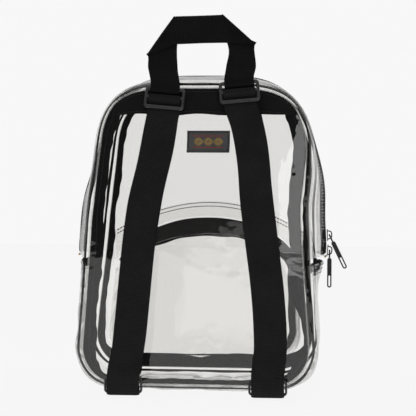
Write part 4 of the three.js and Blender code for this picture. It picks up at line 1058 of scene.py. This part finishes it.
def handle_leg(side):
    pair = lambda up, out: [in_glide(side, side * (HANDLE_LEG_X - STRAP_TOP_X + k * HANDLE_WEBBING), up, out)
                            for k in (0.5, -0.5)]
    half = GLIDE_THICKNESS / 2
    over = half + GAP + WEBBING_THICKNESS + 0.05
    under = -half - 2 * GAP - WEBBING_THICKNESS
    (cx, cz), (tx, tz) = HANDLE_CORNER[side], HANDLE_TOP_POINT[side]
    behind = lambda z: BAND_Y + GAP + handle_depth(z)
    at_bend = lambda x: place(side * x, behind(HANDLE_BEND) - 0.5, HANDLE_BEND)
    pairs = np.array([
        pair(-5, under - 1.5), pair(-2, under - 1.1), pair(GLIDE_HALF, under - 0.7),
        pair(GLIDE_HALF + GLIDE_UPPER_SLOT - 0.6, over), pair(GLIDE_HIGH + 0.4, over),
        [at_bend(HANDLE_OUTER + 1), at_bend(HANDLE_INNER + 1)],
        [place(cx, behind(cz), cz), place(side * (HANDLE_INNER + 2), behind(BAND_LOW), BAND_LOW - 1)],
        [place(cx - side * 0.4, behind(cz), cz + 0.6), place(tx, behind(tz), tz)]])
    pairs[..., 1] += WEBBING_THICKNESS / 2
    path, span = pairs.mean(1), pairs[:, 0] - pairs[:, 1]
    word = "right" if side > 0 else "left"
    leg = webbing(f"handle_leg_{word}", path, unit(span), np.linalg.norm(span, axis=1), "webbing", [],
                  handle_cloth)
    return leg


def handle_fold(side):
    """The rounded edge where the band folds over into a leg."""
    (cx, cz), (tx, tz) = HANDLE_CORNER[side], HANDLE_TOP_POINT[side]
    k = np.linspace(0.0, 1.0, 120)
    x, z = mix(cx, tx, k), mix(cz, tz, k)
    centre = place(x, BAND_Y + handle_depth(z) + GAP / 2, z)
    along = unit(centre[-1] - centre[0])
    out = unit(np.cross(along, [0, 1.0, 0])) * side
    angle = np.arange(14) * 2 * pi / 14
    rib = 1 + 0.05 * np.cos(2 * pi * k * np.hypot(tx - cx, tz - cz) / RIB_PITCH)[:, None, None]
    loops = centre[:, None] + rib * (1.0 * np.cos(angle)[None, :, None] * out
                                     + 1.35 * np.sin(angle)[None, :, None] * np.array([0, 1.0, 0]))
    run = k * np.hypot(tx - cx, tz - cz)
    cloth = woven(run, angle[None, :])
    word = "right" if side > 0 else "left"
    stands_for(tube(f"handle_fold_{word}", loops, handle_cloth, cloth=cloth), "webbing")


def build_webbing():
    stands_for(handle_band(), "webbing", "haul_handle")
    for side in (-1, 1):
        strap(side)
        ring_tab(side)
        stands_for(handle_leg(side), "webbing")
        handle_fold(side)


# Hardware

def slotted(name, width, low, high, slots, thickness, bevel, matrix, node):
    rim = rounded_rectangle(-width / 2 + bevel, low + bevel, width / 2 - bevel, high - bevel, 3.0)
    holes = [rounded_rectangle(-SLOT_WIDTH / 2 - bevel, a - bevel, SLOT_WIDTH / 2 + bevel, b + bevel, 1.4)
             for a, b in slots]
    obj = plate(name, [rim, *holes], thickness, bevel, matrix, plastic)
    return stands_for(obj, "black_plastic", node)


def metres(matrix):
    """The same matrix with its place in metres."""
    out = matrix.copy()
    out.translation = out.translation * MM
    return out


def build_hardware():
    for side, word in ((-1, "left"), (1, "right")):
        slots = [(GLIDE_LOW + GLIDE_BAR, -GLIDE_HALF), (GLIDE_HALF, GLIDE_HIGH - GLIDE_BAR)]
        slotted(f"glide_{word}", GLIDE_WIDTH, GLIDE_LOW, GLIDE_HIGH, slots, GLIDE_THICKNESS, GLIDE_BEVEL,
                metres(glide_matrix(side)), f"triglide_{word}")
        high = RING_BAR * 2 + RING_SLOT
        at = Matrix.Translation(Vector(place(side * STRAP_BOTTOM_X + RING_SHIFT, RING_Y, RING_BOTTOM)))
        slotted(f"strap_ring_{word}", RING_WIDTH, 0, high, [(RING_BAR, high - RING_BAR)],
                RING_THICKNESS, RING_BEVEL, metres(at), f"ring_{word}")


# Front pocket

def pocket_inset(v):
    return mix(POCKET_SIDE_INSET, POCKET_TOP_INSET, np.maximum(pocket.normal(v)[1], 0) ** 2)


POCKET_FACE_Y = HALF_DEPTH + CROWN + POCKET_DEPTH


def pocket_surface(v, t):
    x, z = pocket.point(v)
    nx, nz = pocket.normal(v)
    inset = pocket_inset(v) * t
    x, z = x - nx * inset, z - nz * inset
    foot = front_face(x, z) + GAP + 0.2
    return place(x, mix(foot, POCKET_FACE_Y, t), z)


def pocket_wall(v, t, lift=0.0):
    """Points of the pocket's wall. t is 0 at the front panel and 1 at the pocket's face."""
    return lifted(pocket_surface, v, t, lift, 1e-3)


def pocket_front_face(x, z):
    across_x = np.minimum(np.abs(x) / POCKET_HALF_BASE, 1)
    middle = (POCKET_BASE + POCKET_TOP) / 2
    across_z = np.minimum(np.abs(z - middle) / (middle - POCKET_BASE), 1)
    return POCKET_FACE_Y + POCKET_CROWN * (1 - across_x ** 4) * (1 - across_z ** 4)


def pocket_films():
    inset = lambda v: pocket_inset(v) + POCKET_WELT
    panel_film("pocket_film", pocket, inset, 69.5, pocket_front_face, -1, 111, "pocket_front")
    v, run = pocket.spaced(-pocket_end + SEAM_GAP, pocket_end - SEAM_GAP, 1.6)
    t = np.linspace(0.01, 0.97, 26)
    lift = 0.3 * ripple(run[:, None], t * 20, 113, 22) * np.sin(pi * t)
    outer, inner = (pocket_wall(v[:, None], t, lift + shift) for shift in (0, -FILM))
    stands_for(sheet("pocket_side_film", outer, inner, film), "clear_vinyl", "pocket_gusset")


def pocket_seam(v):
    x, z = pocket.point(v)
    nx, nz = pocket.normal(v)
    inset = pocket_inset(v)
    return place(x - nx * inset, POCKET_FACE_Y, z - nz * inset), np.stack([nx, 0 * nx, nz], -1)


def pocket_tape():
    v, run = pocket.all_round(1.5)
    x, z = pocket.point(v)
    nx, nz = pocket.normal(v)
    share = np.linspace(0, 1, 6)
    ends = np.maximum(smooth(nz, 0.3, 0.9) * 0.65, smooth(-nz, 0.3, 0.9) * 0.8)
    wide = (POCKET_BINDING - 0.5) * (1 - ends) + 0.6 * ripple(run, 0, 121, 50)
    inset = (pocket_inset(v) + 0.2)[:, None] + wide[:, None] * share
    px, pz = x[:, None] - nx[:, None] * inset, z[:, None] - nz[:, None] * inset
    y = pocket_front_face(px, pz) - FILM - 1.0
    cloth = woven(run, share * POCKET_BINDING)
    outer, inner = place(px, y, pz), place(px, y - TAPE, pz)
    stands_for(sheet("pocket_tape", outer, inner, tape_cloth, wrap=True, cloth=cloth), "binding",
               "pocket_binding")


def facing():
    """The clear facing sewn to the front panel above the pocket's zip, with two rows of stitches."""
    end = pocket_end - 0.02
    v, run = pocket.spaced(end, 8 - end, 1.5)
    x, z = pocket.point(v)
    nx, nz = pocket.normal(v)
    x, z = x + nx * 0.6, z + nz * 0.6
    share = x / x[0]
    high = mix(FACING_TOP, FACING_END_Z, share ** 2)
    k = np.linspace(0, 1, 12)
    px, pz = mix(x[:, None], (FACING_END_X * share)[:, None], k), mix(z[:, None], high[:, None], k)
    y = front_face(px, pz) + GAP + 0.25
    stands_for(sheet("facing_film", place(px, y + FILM, pz), place(px, y, pz), film), "clear_vinyl",
               "pocket_facing")
    rows = []
    for inset in FACING_STITCH_INSETS:
        sx, sz = FACING_END_X * share, high - inset
        rows += [place(sx, front_face(sx, sz) + shift, sz) for shift in (-FILM - 0.1, GAP + FILM + 0.4)]
    stands_for(stitches("facing_stitches", rows, black_thread, 0.5), "binding")


def pocket_zip():
    start, end = pocket_end + SEAM_GAP, 8 - pocket_end - SEAM_GAP
    v, run = pocket.spaced(start, end, 1.5)
    t = np.linspace(0.06, 0.975, 24)
    lift = -0.1 + 0.25 * ripple(run[:, None], t * 20, 131, 40)
    cloth = woven(run, t * POCKET_DEPTH)
    outer, inner = (pocket_wall(v[:, None], t, lift + shift) for shift in (0, -TAPE))
    stands_for(sheet("pocket_zip_cloth", outer, inner, zip_cloth, cloth=cloth), "binding",
               "pocket_zip_tape")
    surface = lambda a, side, rise: pocket_wall(a, 0.5 + side / POCKET_DEPTH, rise)
    line = ZipLine(pocket, pocket_end + 0.05, 8 - pocket_end - 0.05, surface, GAP - 0.1)
    zip_teeth("pocket_teeth", line, COIL_HALF_WIDTH * 0.6, COIL_THICKNESS, "pocket_zip_coil")
    rows = [pocket_wall(v, share, 0.35) for share in (0.2, 0.78)]
    stands_for(stitches("pocket_zip_stitches", rows, black_thread), "binding")


def build_pocket():
    pocket_films()
    v = pocket.all_round(1.6)[0]
    welt("pocket_welt", v, pocket_seam, POCKET_WELT, "pocket_piping")
    pocket_tape()
    facing()
    pocket_zip()


# Sliders and pulls. Each is drawn with the zip along Z, the bag towards -X and its pivot at the origin.

PIVOT = BRIDGE_HEIGHT / 2


def turned(points, matrix):
    """Points of a slider in its frame, in millimetres."""
    flat = np.asarray(points, float)
    return np.einsum("ij,...j->...i", np.array(matrix.to_3x3()), flat) + np.array(matrix.translation)


def slider(name, matrix, node):
    """A slider: a plate at the zip, and the bridge that holds its pull."""
    l, w = SLIDER_LENGTH / 2, SLIDER_WIDTH / 2
    rim = [(-w * 0.5, -l), (w * 0.5, -l), (w * 0.9, -l * 0.3), (w * 0.95, l * 0.55), (w * 0.7, l * 0.9),
           (w * 0.25, l), (0, l * 0.8), (-w * 0.25, l), (-w * 0.7, l * 0.9), (-w * 0.95, l * 0.55),
           (-w * 0.9, -l * 0.3)]
    flip = Matrix.Rotation(pi / 2, 4, "Z")
    deck_at = Matrix.Translation(Vector((-PIVOT - SLIDER_THICKNESS * 0.3, 0, 0)))
    deck = plate(name + "_deck", [rim], SLIDER_THICKNESS * 0.6, 0.4, metres(matrix @ deck_at @ flip), metal)
    b, high = BRIDGE_LENGTH / 2, BRIDGE_HEIGHT + BRIDGE_BAR / 2
    arch = np.array([(-0.6, -b + 0.6), (BRIDGE_HEIGHT * 0.5, -b + 0.65), (high * 0.86, -b * 0.66),
                     (high, -b * 0.3), (high, b * 0.3), (high * 0.86, b * 0.66),
                     (BRIDGE_HEIGHT * 0.5, b - 0.65), (-0.6, b - 0.6)])
    line = resample(np.stack([arch[:, 0] - PIVOT, 0 * arch[:, 0], arch[:, 1]], -1), 0.4)
    along = unit(np.gradient(line, axis=0))
    side = np.array([0, 1.0, 0])
    out = np.cross(side, along)
    angle = np.arange(12) * 2 * pi / 12
    cs = np.sign(np.cos(angle)) * np.abs(np.cos(angle)) ** 0.6
    sn = np.sign(np.sin(angle)) * np.abs(np.sin(angle)) ** 0.6
    loops = (line[:, None] + cs[None, :, None] * BRIDGE_WIDTH / 2 * side
             + sn[None, :, None] * BRIDGE_BAR / 2 * out[:, None])
    bridge = tube(name + "_bridge", turned(loops, matrix), metal)
    return stands_for(bridge, "black_metal", node)


def arc(x, z, radius, start, end, steps):
    angles = np.radians(np.linspace(start, end, steps + 1))
    return [(x + radius * cos(angle), z + radius * sin(angle)) for angle in angles]


def pull(name, matrix, node, body_name, twisted):
    """A zip pull: a ring round the bridge, and a paddle with a slot. Twisted, it is flat across the ring."""
    bevel = PULL_BEVEL
    half, ring = PULL_WIDTH / 2 - bevel, PULL_RING_WIDTH / 2 - bevel
    low, end = -PULL_LENGTH + PULL_WIDTH / 2, -PULL_RING_LENGTH - 1.6
    rim = [(-ring + 0.8, 0.7 - bevel), (-ring, -0.3), (-ring, -PULL_RING_LENGTH * 0.75),
           (-half * 0.8, end), (half * 0.8, end), (ring, -PULL_RING_LENGTH * 0.75), (ring, -0.3),
           (ring - 0.8, 0.7 - bevel)]
    h = PULL_RING_HOLE / 2 + bevel
    hole = [(-h, -0.7 + bevel), (h, -0.7 + bevel), (h, -PULL_RING_LENGTH * 0.72),
            (h * 0.5, -PULL_RING_LENGTH - bevel), (-h * 0.5, -PULL_RING_LENGTH - bevel),
            (-h, -PULL_RING_LENGTH * 0.72)]
    across = matrix @ Matrix.Rotation(pi / 2, 4, "Z")
    stands_for(plate(name + "_ring", [rim, hole], PULL_THICKNESS, bevel, metres(across), metal, body_name),
               "black_metal")
    neck = half * 0.7
    blade = ([(-neck, end + 0.6), (-half, end - 0.8)] + arc(0, low, half, 180, 360, 14)
             + [(half, end - 0.8), (neck, end + 0.6)])
    s = PULL_SLOT_WIDTH / 2 + bevel
    slot = arc(0, low, s, 180, 360, 8) + arc(0, low + PULL_SLOT_LENGTH, s, 0, 180, 8)
    at = matrix if twisted else across
    paddle = plate(name, [blade, slot], PULL_THICKNESS, bevel, metres(at), metal, body_name)
    return stands_for(paddle, "black_metal", node)


def frame_of(at, out, along):
    """A matrix with X out from the zip and Z along it."""
    side = unit(np.cross(along, out))
    out = unit(np.cross(side, along))
    return Matrix(np.array([[*out], [*side], [*along]]).T.tolist()).to_4x4(), Vector(at)


def slider_matrix(z):
    v = body.side_at(z)
    at = gusset(v, 0.5, -1 + COIL_THICKNESS + GAP + SLIDER_THICKNESS + PIVOT)
    along = unit(gusset(v + 1e-3, 0.5) - gusset(v - 1e-3, 0.5))
    turn, place_at = frame_of(at, np.cross([0, 1.0, 0], along), along)
    return Matrix.Translation(place_at) @ turn


def pocket_slider_matrix():
    v = mix(8 - pocket_end, pocket_end, POCKET_SLIDER_SHARE)
    at = pocket_wall(v, 0.5, COIL_THICKNESS + 2 * GAP + SLIDER_THICKNESS + PIVOT + 0.3)
    along = unit(pocket_wall(v - 0.01, 0.5) - pocket_wall(v + 0.01, 0.5))
    across = pocket_wall(v, 0.51) - pocket_wall(v, 0.49)
    turn, place_at = frame_of(at, -np.cross(across, along), along)
    return Matrix.Translation(place_at) @ turn


def build_sliders():
    for word in ("upper", "lower"):
        matrix = slider_matrix(SLIDER_Z[word])
        slider(f"slider_{word}", matrix, f"zip_slider_{word}")
        hang = Matrix.Translation(matrix.translation) @ Matrix.Rotation(radians(-PULL_LEAN[word]), 4, "Y")
        pull(f"pull_{word}", hang, f"zip_pull_{word}", f"{word}_pull", True)
    matrix = pocket_slider_matrix()
    slider("pocket_slider", matrix, "pocket_zip_slider")
    pull("pocket_pull_tab", matrix, "pocket_zip_pull", "pocket_pull", False)


# Studio

def build_floor():
    """A pale table top that glows softly, as in a white product photo."""
    mesh = bpy.data.meshes.new("floor")
    wide, near, far = 1.6, -1.75, 2.2
    mesh.from_pydata([(-wide, near, 0), (wide, near, 0), (wide, far, 0), (-wide, far, 0)], [], [(0, 1, 2, 3)])
    material, nodes, links, principled = shader("floor")
    principled.inputs["Base Color"].default_value = (0.07, 0.07, 0.07, 1)
    principled.inputs["Roughness"].default_value = 1.0
    principled.inputs["Specular IOR Level"].default_value = 0.0
    principled.inputs["Emission Color"].default_value = (1, 1, 1, 1)
    principled.inputs["Emission Strength"].default_value = 0.88
    mesh.materials.append(material)
    floor = bpy.data.objects.new("floor", mesh)
    floor.location.z = -0.0004
    bpy.context.scene.collection.objects.link(floor)


def build_world():
    """Pale paper behind the bag and a dark room before its straps. The camera sees paper all round."""
    world = bpy.data.worlds.new("studio")
    bpy.context.scene.world = world
    world.use_nodes = True
    nodes, links = world.node_tree.nodes, world.node_tree.links
    background = nodes["Background"]
    direction = nodes.new("ShaderNodeTexCoord").outputs["Generated"]
    split = nodes.new("ShaderNodeSeparateXYZ")
    links.new(direction, split.inputs[0])
    ramp = nodes.new("ShaderNodeValToRGB")
    ramp.color_ramp.elements[0].position = 0.36
    ramp.color_ramp.elements[0].color = (0.02, 0.02, 0.021, 1)
    ramp.color_ramp.elements[1].position = 0.52
    ramp.color_ramp.elements[1].color = (0.9, 0.9, 0.9, 1)
    half = math_node(nodes, links, "MULTIPLY_ADD", split.outputs["Y"], 0.5)
    half.node.inputs[2].default_value = 0.5
    links.new(half, ramp.inputs["Fac"])
    path = nodes.new("ShaderNodeLightPath")
    paper = nodes.new("ShaderNodeMix")
    paper.data_type = "RGBA"
    links.new(path.outputs["Is Camera Ray"], paper.inputs["Factor"])
    links.new(ramp.outputs["Color"], paper.inputs[6])
    paper.inputs[7].default_value = (0.935, 0.935, 0.935, 1)
    links.new(paper.outputs[2], background.inputs["Color"])


def softbox(name, azimuth, elevation, distance, width, height, radiance):
    """An area light that faces the bag. Azimuth 0 stands in front of the straps and 90 at +X."""
    a, e = radians(azimuth), radians(elevation)
    back = Vector((sin(a) * cos(e), -cos(a) * cos(e), sin(e)))
    light = bpy.data.lights.new(name, "AREA")
    light.shape = "RECTANGLE"
    light.size, light.size_y = width, height
    light.energy = radiance * pi * width * height
    obj = bpy.data.objects.new(name, light)
    obj.location = Vector((0, 0, 0.15)) + back * distance
    obj.rotation_mode = "QUATERNION"
    obj.rotation_quaternion = back.to_track_quat("Z", "Y")
    obj.visible_camera = False
    bpy.context.scene.collection.objects.link(obj)


def build_camera():
    a, e = radians(CAMERA_AZIMUTH), radians(CAMERA_ELEVATION)
    back = Vector((sin(a) * cos(e), -cos(a) * cos(e), sin(e)))
    right = Vector((cos(a), sin(a), 0))
    aim = Vector((0, -HALF_DEPTH, AIM_Z)) + right * AIM_X
    data = bpy.data.cameras.new("camera")
    data.sensor_width = SENSOR
    data.lens = SENSOR * CAMERA_DISTANCE / (MM_PER_PIXEL * PHOTO_PIXELS)
    data.clip_start, data.clip_end = 0.05, 20
    camera = bpy.data.objects.new("camera", data)
    camera.location = (aim + back * CAMERA_DISTANCE) * MM
    camera.rotation_mode = "QUATERNION"
    roll_turn = Matrix.Rotation(radians(CAMERA_ROLL), 4, "Z").to_quaternion()
    camera.rotation_quaternion = back.to_track_quat("Z", "Y") @ roll_turn
    bpy.context.scene.collection.objects.link(camera)
    bpy.context.scene.camera = camera


def build_studio():
    build_floor()
    build_world()
    softbox("right_softbox", 19, 2, 1.5, 0.5, 0.9, 2.3)
    softbox("top_softbox", -12, 52, 1.6, 1.1, 0.9, 1.6)
    build_camera()
    scene = bpy.context.scene
    scene.view_settings.view_transform = "Standard"
    scene.cycles.transparent_max_bounces = 64
    scene.cycles.max_bounces = 12


build_films()
build_seams()
build_main_zip()
build_yoke()
build_label()
build_webbing()
build_hardware()
build_pocket()
build_sliders()
build_studio()
